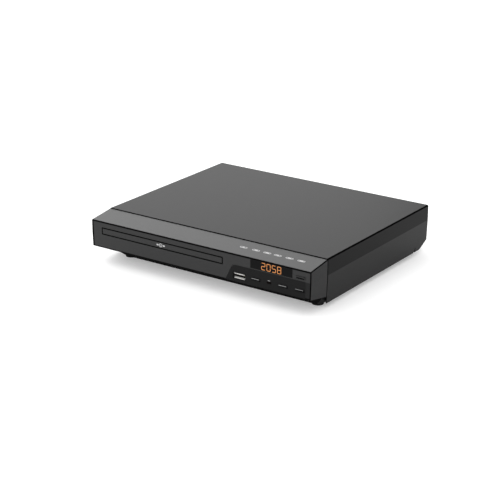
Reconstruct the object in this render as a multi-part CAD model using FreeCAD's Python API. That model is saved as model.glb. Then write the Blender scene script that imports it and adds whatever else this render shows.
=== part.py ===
import FreeCAD, Part
import math
import os

# A compact disc player: a painted sheet-steel cover over a steel pan, a moulded front panel with a sloped
# top, and inside it a tray loader on the left and the boards on the right. Millimetres, +Z up, +X to the
# right seen from the front, +Y to the rear. The origin is on the ground under the middle of the whole box.

V = FreeCAD.Vector

# Disc, and the space that the body leaves round it: these set the body's width and depth
DISC_R = 60.0
SMALL_DISC_R = 40.0
DISC_PLAY = 0.4
DISC_FRONT = 7.6
DISC_BEHIND = 62.6
DRIVE_SPACE = 68.0

# Whole body
FOOT_HEIGHT = 4.5
CREASE_HEIGHT = 24.4
SIDE_TAPER = 0.9
SHEET = 0.8
TAIL_RUN = 12.0
TAIL_RISE = 6.2

# Clearances of fixed parts, of moving parts and of shafts in their holes, and the overrun of every cut
FIT = 0.2
RUN_GAP = 0.3
SHAFT_GAP = 0.05
CUT = 2.0

# Top cover
COVER_BEND = 1.4
FLANGE_TOP = 7.0
FLANGE_SIDE = 3.0
NOTCH_FROM_REAR = 23.0
NOTCH_WIDTH = 2.2
NOTCH_HEIGHT = 3.4
NOTCH_LEAN = 2.6

# Front panel: a hollow moulding, open at the rear, whose lip runs under the cover
PANEL_DEPTH = 24.2
SEAM = 1.1
SEAM_STEP = 0.6
PANEL_WALL = 2.0
PANEL_EDGE = 1.0
BEVEL_DROP = 3.75
FACE_BOTTOM = 10.75
TAIL_BOTTOM = 6.1
LIP_LENGTH = 4.0
LIP_WALL = 1.2
LIP_ROOT = 1.0

# Tray slot in the face, and the door that fills it
SLOT_SIDE = 11.3
SLOT_HEIGHT = 6.6
SLOT_DROP = 8.35
SLOT_CORNER = 0.8
DOOR_GAP = 0.8
DOOR_THICK = 3.0
DOOR_EDGE = 0.4

# Display window, control inlay and sensor window, placed across the inlay by shares of its width
WINDOW_LEFT_SHARE = 0.3205
WINDOW_RIGHT_SHARE = 0.8417
WINDOW_HEIGHT = 7.2
WINDOW_DROP = 1.25
WINDOW_FLANGE = 1.2
WINDOW_FLANGE_THICK = 1.0
INLAY_WIDTH = 77.7
INLAY_HEIGHT = 14.25
INLAY_SLANT = 7.4
INLAY_SIDE = 5.2
INLAY_TO_SLOT = 2.4
INLAY_THICK = 0.9
INLAY_FROM_BOTTOM = 0.4
INLAY_BELOW_WINDOW = 0.8
TRIM_FIT = 0.1
SENSOR_SHARE = 0.5547
SENSOR_WIDTH = 4.4

# Buttons and the switches behind them
BUTTON_WIDTH = 8.4
BUTTON_HEIGHT = 2.0
BUTTON_PROUD = 0.6
BUTTON_EDGE = 0.35
BUTTON_FLANGE = 1.0
BUTTON_FLANGE_THICK = 1.0
BUTTON_TRAVEL = 0.8
BUTTON_STEM_R = 1.2
ROW_RISE = 6.35
PLAY_SHARE = 0.3874
STOP_SHARE = 0.7259
OPEN_SHARE = 0.9305
STANDBY_SHARE = 0.9408
STANDBY_DROP = 6.55
SWITCH_SIDE = 6.0
SWITCH_THICK = 3.4
STEM_ENTRY = 0.9

# Front board, its posts, the display module and the remote sensor
BOARD_THICK = 1.6
FRONT_BOARD_BACK = 14.4
FRONT_BOARD_IN = 4.4
FRONT_BOARD_OUT = 1.2
BOARD_EDGE_GAP = 0.5
POST_R = 2.5
POST_LEFT_SHARE = 0.1017
POST_MID_SHARE = 0.471
POST_RIGHT_SHARE = 0.9884
POST_LOW_RISE = 11.65
POST_HIGH_RISE = 19.25
DISPLAY_INSET = 1.5
DISPLAY_DROP = 0.9
DISPLAY_DEPTH = 9.0
EYE_WIDTH = 5.6
EYE_HEIGHT = 6.0
EYE_THICK = 4.0
EYE_DOME_R = 1.9

# Data port: a sheet-metal shell around a moulded tongue
PORT_SHARE = 0.1776
PORT_RISE = 5.6
PORT_WIDTH = 13.1
PORT_HEIGHT = 5.7
PORT_SHEET = 0.3
PORT_SETBACK = 1.0
PORT_CORNER = 0.6
TONGUE_WIDTH = 11.1
TONGUE_THICK = 1.9
TONGUE_DROP = 0.8
TONGUE_SETBACK = 0.4
PORT_BLOCK = 3.0

# Bottom pan with its front wall, side walls, sloped tail and rear flange
PAN_FRONT = 19.0
PAN_SIDE_GAP = 0.4
PAN_WALL_HEIGHT = 9.0
LEFT_CORNER_WIDTH = 21.0
RIGHT_CORNER_WIDTH = 4.0
PAN_CORNER_RUN = 11.0
PAN_CORNER_RISE = 5.4
PAN_FLANGE = 7.0
PAN_FLANGE_TO_BOARD = 4.0
VENT_WIDTH = 2.6
VENT_ROUND_SHARE = 0.45
VENT_LENGTH = 22.0
VENT_PITCH = 7.0
VENT_COUNT = 7

# Feet: pushed into holes of the pan
FEET_SPAN_SHARE = 0.863
FEET_SHIFT = 2.7
FOOT_FROM_FRONT = 31.0
FOOT_FROM_REAR = 28.0
FOOT_R = 6.0
FOOT_TIP_R = 5.0
FOOT_STEM_R = 2.0
FOOT_BARB_R = 2.6
FOOT_BARB = 1.5

# Screws
SCREW_R = 1.25
SCREW_HEAD_R = 2.6
SCREW_HEAD = 1.8
SCREW_LENGTH = 5.0

# Rear panel
REAR_FIT = 0.3
COVER_SCREW_SHARES = (-0.38, 0.0, 0.38)
PAN_SCREW_SHARES = (-0.3, 0.06)
REAR_VENT_WIDTH = 2.0
REAR_VENT_LENGTH = 12.0
REAR_VENT_PITCH = 5.0
REAR_VENT_COUNT = 13
REAR_VENT_SIDE = 22.5

# Boards on standoffs of the pan
BOARD_RISE = 6.2
STANDOFF_R = 3.0
HOLE_INSET = 4.5
BOARD_TO_LOADER = 8.5
MAIN_SIDE = 18.0
MAIN_FRONT_SHARE = 0.5445
MAIN_REAR_GAP = 2.9
MAIN_HOLE_TAIL = 19.0
POWER_SIDE = 5.0
POWER_FRONT = 32.0
POWER_REAR_SHARE = 0.5131
POWER_HOLE_SIDE = 15.0

# Processor with its heat sink, placed on the main board by shares of its width and length
CHIP_ACROSS_SHARE = 0.425
CHIP_ALONG_SHARE = 0.388
CHIP_SIDE = 22.0
CHIP_THICK = 2.0
SINK_SIDE = 26.0
SINK_BASE = 2.0
SINK_HEIGHT = 11.0
SINK_FINS = 7
FIN_THICK = 1.2

# Flat digital socket
AV_TO_JACK = 15.0
AV_WIDTH = 15.0
AV_HEIGHT = 5.6
AV_DEPTH = 12.0
AV_SHEET = 0.4
AV_CHAMFER = 1.8
AV_PROUD = 0.4
AV_TONGUE_WIDTH = 9.6
AV_TONGUE_THICK = 1.2
AV_TONGUE_SETBACK = 1.0
AV_BLOCK = 3.0

# Round jacks
JACK_IN = 6.5
JACK_PITCH = 13.0
JACK_RISE = 11.0
JACK_REACH = 8.0
JACK_BLOCK_WIDTH = 11.6
JACK_BLOCK_HEIGHT = 16.5
JACK_BLOCK_DEPTH = 11.0
JACK_COLLAR_R = 4.95
JACK_COLLAR = 1.0
JACK_SLEEVE_R = 4.15
JACK_SLEEVE_WALL = 0.85
JACK_CONTACT_R = 1.6
JACK_CORE_SETBACK = 0.8
JACK_CONTACT_DEPTH = 8.0

# Mains inlet with two pins, and the wires to the power board
INLET_SIDE = 11.0
INLET_RISE = 17.5
INLET_WIDTH = 10.8
INLET_HEIGHT = 21.0
INLET_DEPTH = 15.0
INLET_FLANGE = 1.3
INLET_FLANGE_THICK = 1.5
INLET_RECESS_R = 4.0
INLET_RECESS_DEPTH = 12.0
INLET_WAIST = 6.2
INLET_PIN_PITCH = 8.6
INLET_PIN_R = 1.2
INLET_PIN_LENGTH = 9.0
WIRE_R = 1.1
WIRE_BEND = 14.0
WIRE_LEVEL_RUN = 14.0
WIRE_PITCH = 4.4
CONNECTOR_WIDTH = 9.6
CONNECTOR_DEPTH = 8.0
CONNECTOR_HEIGHT = 9.0
CONNECTOR_ENTRY = 5.0

# Power board parts, placed on it by shares of its width and length
TRANSFORMER_ACROSS_SHARE = 0.288
TRANSFORMER_ALONG_SHARE = 0.455
CORE_WIDTH = 24.0
CORE_DEPTH = 14.0
CORE_HEIGHT = 20.0
CORE_LEG = 4.0
CORE_MID_LEG = 6.0
WINDING_BULGE = 3.6
CAPACITOR_ACROSS_SHARE = 0.69
CAPACITOR_ALONG_SHARE = 0.394
CAPACITOR_R = 8.0
CAPACITOR_HEIGHT_SHARE = 0.6
SMALL_CAPACITOR_R = 4.0
SMALL_CAPACITOR_HEIGHT = 12.0
SMALL_CAPACITOR_IN = 18.0
SMALL_CAPACITOR_PITCH = 11.0
SMALL_CAPACITOR_COUNT = 3
SMALL_CAPACITOR_TAIL = 10.0
CRIMP_SHARE = 0.12
CRIMP_DEPTH_SHARE = 0.08

# Disc tray
TRAY_MARGIN = 0.3
TRAY_THICK = 4.8
TRAY_SKIN = 1.6
TRAY_RIM = 2.0
TRAY_CORNER = 6.0
TRAY_BORDER = 2.7
TRAVEL_SHORT = 1.4
RECESS = 2.3
SMALL_RECESS = 0.9
TRAY_WINDOW_R = 20.0
TRAY_WINDOW_MORE = 5.5

# Gear train, and the rack whose pitch line lies this far inside the tray's right edge
PRESSURE_ANGLE = math.radians(20.0)
ADDENDUM_SHARE = 0.75
DEDENDUM_SHARE = 1.1
BACKLASH_SHARE = 0.14
FLANK_STEPS = 2
RACK_MODULE = 1.0
RACK_TEETH = 13
RACK_IN = 8.1
RACK_RIB = 2.6
RACK_DROP = 0.5
GROOVE = 1.8
GEAR_MODULE = 0.8
DRIVE_TEETH = 30
PINION_TEETH = 12
DRIVE_BACK = 34.5
DRIVE_FACE = 3.0
PINION_FACE = 4.2
GEAR_RISE = 2.3
GEAR_POST_R = 1.5
GEAR_SEAT_R = 3.4
HUB_WALL = 1.6
WEB_HOLES = 5
WEB_HOLE_R = 1.3

# Belt drive
PULLEY_LINE_R = 8.0
MOTOR_LINE_R = 3.0
PULLEY_FLANGE = 0.2
PULLEY_RIM = 0.7
PULLEY_BELOW_TRAY = 3.8
BELT_THICK = 1.2
BELT_RUN = 28.2
LOAD_MOTOR_BACK = 31.5
LOAD_MOTOR_R = 10.0
LOAD_SHAFT_R = 1.0
LOAD_BOSS_R = 3.0
LOAD_BOSS = 0.6
CHEEK_WALL = 1.6
CHEEK_HEIGHT = 5.0

# Loader frame
LOADER_FRONT = 21.0
LOADER_RISE = 2.7
LOADER_TAIL = 3.5
BASE_THICK = 2.0
FRAME_WALL = 2.9
TRAY_SIDE_GAP = 0.5
LEDGE_REACH = 2.5
LEDGE_THICK = 1.8
GUIDE_REACH = 2.0
GUIDE_THICK = 1.4
GUIDE_FRONT = 4.0
LUG_INSET = 10.5
LUG_FRONT = 33.0
LUG_TAIL = 7.0
LUG_RUN = 23.0
LUG_R = 4.0
BASE_WINDOW_GAP = 1.5

# Clamp bridge and clamper over the tray
BRIDGE_RISE = 3.4
BRIDGE_HALF = 14.0
BRIDGE_SHEET = 1.2
BRIDGE_BEAD = 1.0
BRIDGE_BEAD_WIDTH = 3.0
CLAMPER_RISE = 1.0
CLAMPER_R = 15.0
CLAMPER_THICK = 1.6
CLAMPER_NECK_R = 11.5
CLAMPER_NECK_GAP = 1.0
CLAMPER_CAVITY_R = 8.5
CLAMPER_CAVITY = 1.8
YOKE_R = 14.5
YOKE_THICK = 1.4

# Traverse: a steel plate that tilts about two trunnions and carries the spindle, the sled and the feed
LIFT = 6.4
SLED_TO_PIVOT = 6.5
PIVOT_BELOW_TRAY = 6.9
PLATE_THICK = 1.6
PLATE_TO_CAM = 5.0
PLATE_TO_RACK = 15.0
PLATE_TAIL = 5.0
TRUNNION_R = 2.0
BUSH_WALL = 2.2
BUSH_GAP = 2.5
BUSH_LENGTH = 4.0
BUSH_POST_WALL = 2.0
SLED_WINDOW_IN = 17.0
SLED_WINDOW_FRONT = 15.0
SLED_WINDOW_REAR = 3.0
TAB_WIDTH = 6.0
CAM_PIN_R = 1.5
CAM_PIN_RISE = 3.0
CAM_PIN_SHARES = (-0.6, 0.25)

# Cam slider
CAM_TO_SPINDLE = 23.0
CAM_WALL = 2.5
CAM_FOOT = 2.4
CAM_FOOT_THICK = 2.0
CAM_STROKE_SHARE = 0.375
CAM_MARGIN = 5.0
CAM_SLOT_GAP = 0.35
CAM_HEAD = 1.2
HOOK_WIDTH = 4.0
HOOK_WALL = 1.4
HOOK_LIP = 1.0
HOOK_SHARES = (-0.525, 0.225)

# Spindle motor and turntable
DISC_LIFT = 1.4
SPINDLE_R = 13.0
SPINDLE_SHAFT_R = 1.0
TURNTABLE_R = 15.0
TURNTABLE_THICK = 3.0
TURNTABLE_HUB_R = 7.4
TURNTABLE_HUB_TIP_R = 6.6
TURNTABLE_HUB = 1.6

# Pickup sled, guide rods, lens and feed screw
LENS_INNER = 23.0
OUTER_TRACK_IN = 1.5
SLED_AHEAD = 7.8
SLED_BEHIND = 15.0
SLED_SIDE_GAP = 2.0
SLED_RISE = 4.3
SLED_DROP = 5.3
SLED_WING = 3.4
ROD_R = 1.5
ROD_IN = 11.0
ROD_RISE = 2.3
ROD_BLOCK_HALF = 3.0
ROD_BLOCK = 3.0
LENS_STEM_R = 2.5
LENS_STEM = 1.5
LENS_WELL = 2.2
LENS_HOLDER_R = 4.2
LENS_R = 2.4
LENS_GAP = 0.6
LENS_HOLDER = 1.2
LENS_DOME = 0.8
FEED_IN = 4.0
FEED_SCREW_R = 1.3
FEED_MOTOR_R = 3.4
FEED_MOTOR_LENGTH = 14.0
FEED_BLOCK_HALF = 2.6

# The body's own sizes follow from the disc, the tray and the controls that it holds
WELL_R = DISC_R + DISC_PLAY
SLOT_WIDTH = 2 * (WELL_R + TRAY_BORDER + TRAY_MARGIN + DOOR_GAP)
WIDTH = SLOT_SIDE + SLOT_WIDTH + INLAY_TO_SLOT + INLAY_WIDTH + INLAY_SIDE
SPINDLE_BACK = max(DISC_FRONT + WELL_R, DRIVE_SPACE)
DEPTH = SPINDLE_BACK + WELL_R + DISC_BEHIND
FACE_HEIGHT = INLAY_FROM_BOTTOM + INLAY_HEIGHT + INLAY_BELOW_WINDOW + WINDOW_HEIGHT + WINDOW_DROP
BODY_HEIGHT = FACE_BOTTOM + FACE_HEIGHT + BEVEL_DROP
TRAY_TRAVEL = SPINDLE_BACK + WELL_R - TRAVEL_SHORT

# Levels and places worked out from the sizes above
PAN_Z = FOOT_HEIGHT
FLOOR_Z = PAN_Z + SHEET
TOP_Z = PAN_Z + BODY_HEIGHT
CREASE_Z = PAN_Z + CREASE_HEIGHT
FACE_TOP_Z = TOP_Z - BEVEL_DROP
FACE_LOW_Z = PAN_Z + FACE_BOTTOM
FACE_Y = (BUTTON_PROUD - DEPTH - JACK_REACH + SHEET) / 2
REAR_Y = FACE_Y + DEPTH
BACK_Y = REAR_Y - SHEET
BACK_IN_Y = BACK_Y - SHEET
PANEL_REAR_Y = FACE_Y + PANEL_DEPTH
COVER_Y = PANEL_REAR_Y + SEAM
PAN_Y = FACE_Y + PAN_FRONT
PAN_HALF = WIDTH / 2 - SIDE_TAPER - SHEET - PAN_SIDE_GAP

INLAY_RIGHT = WIDTH / 2 - INLAY_SIDE
INLAY_LEFT = INLAY_RIGHT - INLAY_WIDTH
WINDOW_LEFT = INLAY_LEFT + WINDOW_LEFT_SHARE * INLAY_WIDTH
WINDOW_RIGHT = INLAY_LEFT + WINDOW_RIGHT_SHARE * INLAY_WIDTH
SENSOR_X = INLAY_LEFT + SENSOR_SHARE * INLAY_WIDTH
PORT_X = INLAY_LEFT + PORT_SHARE * INLAY_WIDTH
TRAY_X = SLOT_SIDE + (SLOT_WIDTH - WIDTH) / 2
SLOT_Z = FACE_TOP_Z - SLOT_DROP
WINDOW_TOP_Z = FACE_TOP_Z - WINDOW_DROP
WINDOW_LOW_Z = WINDOW_TOP_Z - WINDOW_HEIGHT
INLAY_TOP_Z = WINDOW_LOW_Z - INLAY_BELOW_WINDOW
INLAY_LOW_Z = FACE_LOW_Z + INLAY_FROM_BOTTOM
ROW_Z = FACE_LOW_Z + ROW_RISE
STANDBY_Z = FACE_TOP_Z - STANDBY_DROP
PORT_Z = FACE_LOW_Z + PORT_RISE
FRONT_BOARD_Y = FACE_Y + FRONT_BOARD_BACK
SWITCH_Y = FRONT_BOARD_Y - SWITCH_THICK
BUTTON_REAR_Y = FACE_Y + PANEL_WALL + TRIM_FIT + BUTTON_FLANGE_THICK

TRAY_HALF = SLOT_WIDTH / 2 - DOOR_GAP - TRAY_MARGIN
TRAY_Z = SLOT_Z - TRAY_THICK / 2
TRAY_TOP_Z = TRAY_Z + TRAY_THICK
RECESS_Z = TRAY_TOP_Z - RECESS
TRAY_Y = FACE_Y + DOOR_THICK
DISC_Y = FACE_Y + SPINDLE_BACK

RACK_PITCH = math.pi * RACK_MODULE
RACK_X = TRAY_X + TRAY_HALF - RACK_IN
DRIVE_X = RACK_X - RACK_MODULE * RACK_TEETH / 2
DRIVE_Y = FACE_Y + DRIVE_BACK
PULLEY_X = DRIVE_X - GEAR_MODULE * (DRIVE_TEETH + PINION_TEETH) / 2
RACK_COUNT = math.ceil(TRAY_TRAVEL / RACK_PITCH) + 3
RACK_START_Y = DRIVE_Y - 2 * RACK_PITCH
RACK_END_Y = RACK_START_Y + RACK_COUNT * RACK_PITCH
TRAY_REAR_Y = RACK_END_Y + TRAY_RIM
RACK_Z = TRAY_Z - RACK_DROP
GROOVE_Z = TRAY_Z + GROOVE

BASE_Z = FLOOR_Z + LOADER_RISE
BASE_TOP_Z = BASE_Z + BASE_THICK
LOADER_Y = FACE_Y + LOADER_FRONT
LOADER_REAR_Y = TRAY_REAR_Y + LOADER_TAIL
FRAME_IN = TRAY_HALF + TRAY_SIDE_GAP
FRAME_OUT = FRAME_IN + FRAME_WALL
BRIDGE_Z = TRAY_TOP_Z + BRIDGE_RISE
GEAR_Z = BASE_TOP_Z + GEAR_RISE
PULLEY_TOP_Z = TRAY_Z - PULLEY_BELOW_TRAY
PULLEY_Z = PULLEY_TOP_Z - BELT_THICK - 2 * PULLEY_RIM
LOAD_MOTOR_X = PULLEY_X - BELT_RUN
LOAD_MOTOR_Y = FACE_Y + LOAD_MOTOR_BACK

SLED_TRAVEL = DISC_R - OUTER_TRACK_IN - LENS_INNER
PIVOT_Y = DISC_Y + LENS_INNER + SLED_TRAVEL + SLED_BEHIND + SLED_TO_PIVOT
PIVOT_Z = TRAY_Z - PIVOT_BELOW_TRAY
PLATE_TOP_Z = PIVOT_Z + PLATE_THICK / 2
CAM_Y = DISC_Y - CAM_TO_SPINDLE
PLATE_Y = CAM_Y + PLATE_TO_CAM
PLATE_HALF = RACK_X - TRAY_X - PLATE_TO_RACK
SLED_WINDOW_HALF = PLATE_HALF - SLED_WINDOW_IN
SLED_HALF = SLED_WINDOW_HALF - SLED_SIDE_GAP
ROD_OFFSET = PLATE_HALF - ROD_IN
TILT = math.asin(LIFT / (PIVOT_Y - DISC_Y))
DECK_Z = RECESS_Z + DISC_LIFT
ROD_Z = PLATE_TOP_Z + ROD_RISE
LENS_Y = DISC_Y + LENS_INNER
SLED_TOP_Z = PLATE_TOP_Z + SLED_RISE
SLED_WINDOW_Y = DISC_Y + SLED_WINDOW_FRONT
SLED_WINDOW_REAR_Y = PIVOT_Y - SLED_WINDOW_REAR
FEED_X = TRAY_X + PLATE_HALF - FEED_IN
CAM_PIN_Z = PIVOT_Z + CAM_PIN_RISE
CAM_STROKE = CAM_STROKE_SHARE * PLATE_HALF
CAM_PINS = [TRAY_X + share * PLATE_HALF for share in CAM_PIN_SHARES]

BOARD_Z = FLOOR_Z + BOARD_RISE
BOARD_TOP_Z = BOARD_Z + BOARD_THICK
MAIN_LEFT = TRAY_X + FRAME_OUT + BOARD_TO_LOADER
MAIN_RIGHT = WIDTH / 2 - MAIN_SIDE
MAIN_Y = FACE_Y + MAIN_FRONT_SHARE * DEPTH
MAIN_REAR_Y = BACK_IN_Y - MAIN_REAR_GAP
POWER_RIGHT = WIDTH / 2 - POWER_SIDE
POWER_Y = FACE_Y + POWER_FRONT
POWER_REAR_Y = FACE_Y + POWER_REAR_SHARE * DEPTH
AV_X = MAIN_RIGHT - JACK_IN - 2 * JACK_PITCH - AV_TO_JACK
INLET_X = WIDTH / 2 - INLET_SIDE
CHIP_X = MAIN_LEFT + CHIP_ACROSS_SHARE * (MAIN_RIGHT - MAIN_LEFT)
CHIP_Y = MAIN_Y + CHIP_ALONG_SHARE * (MAIN_REAR_Y - MAIN_Y)
TRANSFORMER_X = MAIN_LEFT + TRANSFORMER_ACROSS_SHARE * (POWER_RIGHT - MAIN_LEFT)
TRANSFORMER_Y = POWER_Y + TRANSFORMER_ALONG_SHARE * (POWER_REAR_Y - POWER_Y)
JACK_Z = BOARD_TOP_Z + JACK_RISE
INLET_Z = FLOOR_Z + INLET_RISE


# Building blocks
def box(x0, x1, y0, y1, z0, z1):
    return Part.makeBox(x1 - x0, y1 - y0, z1 - z0, V(x0, y0, z0))


def post(x, y, z0, z1, radius):
    return Part.makeCylinder(radius, z1 - z0, V(x, y, z0), V(0, 0, 1))


def bar(x, z, y0, y1, radius):
    return Part.makeCylinder(radius, y1 - y0, V(x, y0, z), V(0, 1, 0))


def solid_of(points, along):
    """Extrude a closed outline of points."""
    return Part.Face(Part.makePolygon(points + points[:1])).extrude(along)


def side_prism(outline, x0, x1):
    """Outline in Y and Z, drawn out along X."""
    return solid_of([V(x0, y, z) for y, z in outline], V(x1 - x0, 0, 0))


def front_prism(outline, y0, y1):
    """Outline in X and Z, drawn out along Y."""
    return solid_of([V(x, y0, z) for x, z in outline], V(0, y1 - y0, 0))


def plan_prism(outline, z0, z1):
    """Outline in X and Y, drawn out along Z."""
    return solid_of([V(x, y, z0) for x, y in outline], V(0, 0, z1 - z0))


def joined(first, *others):
    return first.fuse(list(others)).removeSplitter()


def cut(shape, *tools):
    return shape.cut(list(tools))


def turned(profile, x, y):
    """Revolve an outline of (radius, height) points about the vertical line through x, y."""
    points = [V(x + r, y, z) for r, z in profile]
    face = Part.Face(Part.makePolygon(points + points[:1]))
    return face.revolve(V(x, y, 0), V(0, 0, 1), 360)


def rounded(shape, radius, chosen):
    """Round the straight edges for which chosen(middle, direction) holds."""
    edges = []
    for edge in shape.Edges:
        if len(edge.Vertexes) == 2:
            start, end = (vertex.Point for vertex in edge.Vertexes)
            if chosen((start + end) / 2, (end - start).normalize()):
                edges.append(edge)
    return shape.makeFillet(radius, edges)


def pillow(x0, x1, y0, y1, z0, z1, radius, axis):
    """A box whose four edges along the axis are rounded."""
    return rounded(box(x0, x1, y0, y1, z0, z1), radius, lambda middle, way: abs(way.dot(axis)) > 0.9)


def screw(x, y, z, way):
    """A screw with its head on the surface at the point and its shank along the way."""
    point = V(x, y, z)
    shank = Part.makeCylinder(SCREW_R, SCREW_LENGTH, point, way)
    head = Part.makeCone(SCREW_HEAD_R, SCREW_HEAD_R - SCREW_HEAD / 2, SCREW_HEAD, point, way * -1)
    return joined(shank, head)


def screw_hole(x, y, z, way):
    return Part.makeCylinder(SCREW_R + SHAFT_GAP, 2 * SCREW_LENGTH, V(x, y, z) - way * CUT, way)


# The body's outline seen from the front, and the slopes of the front panel
def shell_outline(inset):
    half = WIDTH / 2 - inset
    foot = half - SIDE_TAPER
    top = TOP_Z - inset
    return [(-foot, PAN_Z), (-half, CREASE_Z), (-half, top), (half, top), (half, CREASE_Z), (foot, PAN_Z)]


BEVEL_SLOPE = (BEVEL_DROP - SEAM_STEP) / PANEL_DEPTH
CHIN_SLOPE = (FACE_BOTTOM - TAIL_BOTTOM) / PANEL_DEPTH
BEVEL_WALL = PANEL_WALL * math.hypot(1, BEVEL_SLOPE)
CHIN_WALL = PANEL_WALL * math.hypot(1, CHIN_SLOPE)


def bevel_z(y):
    return FACE_TOP_Z + BEVEL_SLOPE * (y - FACE_Y)


def chin_z(y):
    return FACE_LOW_Z - CHIN_SLOPE * (y - FACE_Y)


def tail_z(y):
    """Height of the sloped rear underside."""
    return PAN_Z + TAIL_RISE * (y - (REAR_Y - TAIL_RUN)) / TAIL_RUN


BUTTONS = {
    "play_button": (INLAY_LEFT + PLAY_SHARE * INLAY_WIDTH, ROW_Z),
    "stop_button": (INLAY_LEFT + STOP_SHARE * INLAY_WIDTH, ROW_Z),
    "open_button": (INLAY_LEFT + OPEN_SHARE * INLAY_WIDTH, ROW_Z),
    "standby_button": (INLAY_LEFT + STANDBY_SHARE * INLAY_WIDTH, STANDBY_Z),
}

FRONT_POSTS = [
    (INLAY_LEFT + POST_LEFT_SHARE * INLAY_WIDTH, FACE_LOW_Z + POST_HIGH_RISE),
    (INLAY_LEFT + POST_MID_SHARE * INLAY_WIDTH, FACE_LOW_Z + POST_LOW_RISE),
    (INLAY_LEFT + POST_RIGHT_SHARE * INLAY_WIDTH, FACE_LOW_Z + POST_LOW_RISE),
]

BOARD_HOLES = [
    (x, y)
    for x in (MAIN_LEFT + HOLE_INSET, MAIN_RIGHT - HOLE_INSET)
    for y in (MAIN_Y + HOLE_INSET, MAIN_REAR_Y - MAIN_HOLE_TAIL)
] + [
    (x, y)
    for x in (MAIN_LEFT + HOLE_INSET, POWER_RIGHT - POWER_HOLE_SIDE)
    for y in (POWER_Y + HOLE_INSET, POWER_REAR_Y - HOLE_INSET)
]

LUGS = [
    (TRAY_X - FRAME_OUT + LUG_INSET, LOADER_Y + LUG_RUN),
    (TRAY_X - FRAME_OUT + LUG_INSET, LOADER_REAR_Y - LUG_RUN),
    (TRAY_X + FRAME_OUT - LUG_TAIL, LOADER_Y + LUG_FRONT),
    (TRAY_X + FRAME_OUT - LUG_TAIL, LOADER_REAR_Y - LUG_TAIL),
]

BRIDGE_SCREWS = [(TRAY_X + side * (FRAME_IN + FRAME_WALL / 2), DISC_Y) for side in (-1, 1)]

FEET = [
    (FEET_SHIFT + side * FEET_SPAN_SHARE * WIDTH / 2, y)
    for side in (-1, 1)
    for y in (FACE_Y + FOOT_FROM_FRONT, REAR_Y - FOOT_FROM_REAR)
]

COVER_SCREWS = [(share * WIDTH, TOP_Z - SHEET - FLANGE_TOP / 2) for share in COVER_SCREW_SHARES]
PAN_SCREWS = [(share * WIDTH, PAN_Z + TAIL_RISE + PAN_FLANGE / 2) for share in PAN_SCREW_SHARES]
JACKS = [MAIN_RIGHT - JACK_IN - place * JACK_PITCH for place in (2, 1, 0)]


# Shell
def top_cover():
    """One folded sheet: top, creased sides, and a narrow flange round the rear."""
    def top_edge(middle, way):
        return abs(way.y) > 0.9 and middle.z > CREASE_Z + SHEET
    outer = rounded(front_prism(shell_outline(0), COVER_Y, REAR_Y), COVER_BEND, top_edge)
    inner = front_prism(shell_outline(SHEET), COVER_Y - CUT, BACK_Y)
    inner = rounded(inner, COVER_BEND - SHEET, top_edge)
    half = WIDTH / 2 - SHEET - FLANGE_SIDE
    gap = box(-half, half, BACK_Y - CUT, REAR_Y + CUT, PAN_Z - CUT, TOP_Z - SHEET - FLANGE_TOP)
    corner = [
        (REAR_Y - TAIL_RUN, PAN_Z),
        (REAR_Y + CUT, tail_z(REAR_Y + CUT)),
        (REAR_Y + CUT, PAN_Z - CUT),
        (REAR_Y - TAIL_RUN, PAN_Z - CUT),
    ]
    notch_y = REAR_Y - NOTCH_FROM_REAR
    notch = [
        (notch_y, PAN_Z - CUT),
        (notch_y, PAN_Z),
        (notch_y + NOTCH_LEAN, PAN_Z + NOTCH_HEIGHT),
        (notch_y + NOTCH_LEAN + NOTCH_WIDTH / 2, PAN_Z + NOTCH_HEIGHT),
        (notch_y + NOTCH_WIDTH, PAN_Z),
        (notch_y + NOTCH_WIDTH, PAN_Z - CUT),
    ]
    holes = [screw_hole(x, REAR_Y, z, V(0, -1, 0)) for x, z in COVER_SCREWS]
    across = [side_prism(outline, -WIDTH, WIDTH) for outline in (corner, notch)]
    return cut(outer, inner, gap, *across, *holes)


def slim_hole(x, z, y0, y1, width, height, gap):
    """The hole of a button, or of the sensor window, with its gap all round."""
    return box(x - width / 2 - gap, x + width / 2 + gap, y0, y1, z - height / 2 - gap, z + height / 2 + gap)


def control_holes(y0, y1):
    """Holes for the lower row of buttons and for the sensor window."""
    holes = [
        slim_hole(x, z, y0, y1, BUTTON_WIDTH, BUTTON_HEIGHT, RUN_GAP)
        for x, z in BUTTONS.values()
        if z == ROW_Z
    ]
    holes.append(slim_hole(SENSOR_X, ROW_Z, y0, y1, SENSOR_WIDTH, BUTTON_HEIGHT, TRIM_FIT))
    return holes


def inlay_outline(gap):
    """The inlay's outline, with its slanted left edge."""
    return [
        (INLAY_LEFT - gap, INLAY_LOW_Z - gap),
        (INLAY_LEFT + INLAY_SLANT - gap, INLAY_TOP_Z + gap),
        (INLAY_RIGHT + gap, INLAY_TOP_Z + gap),
        (INLAY_RIGHT + gap, INLAY_LOW_Z - gap),
    ]


def panel_lip():
    """The thin lip that the cover laps over, along the top and both sides."""
    inset = SHEET + FIT
    y0 = PANEL_REAR_Y - LIP_ROOT
    y1 = COVER_Y + LIP_LENGTH
    ring = cut(
        front_prism(shell_outline(inset), y0, y1),
        front_prism(shell_outline(inset + LIP_WALL), y0 - CUT, y1 + CUT),
    )
    below = box(-WIDTH, WIDTH, y0 - CUT, y1 + CUT, PAN_Z - CUT, PAN_Z + TAIL_BOTTOM + PAN_WALL_HEIGHT)
    return cut(ring, below)


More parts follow.
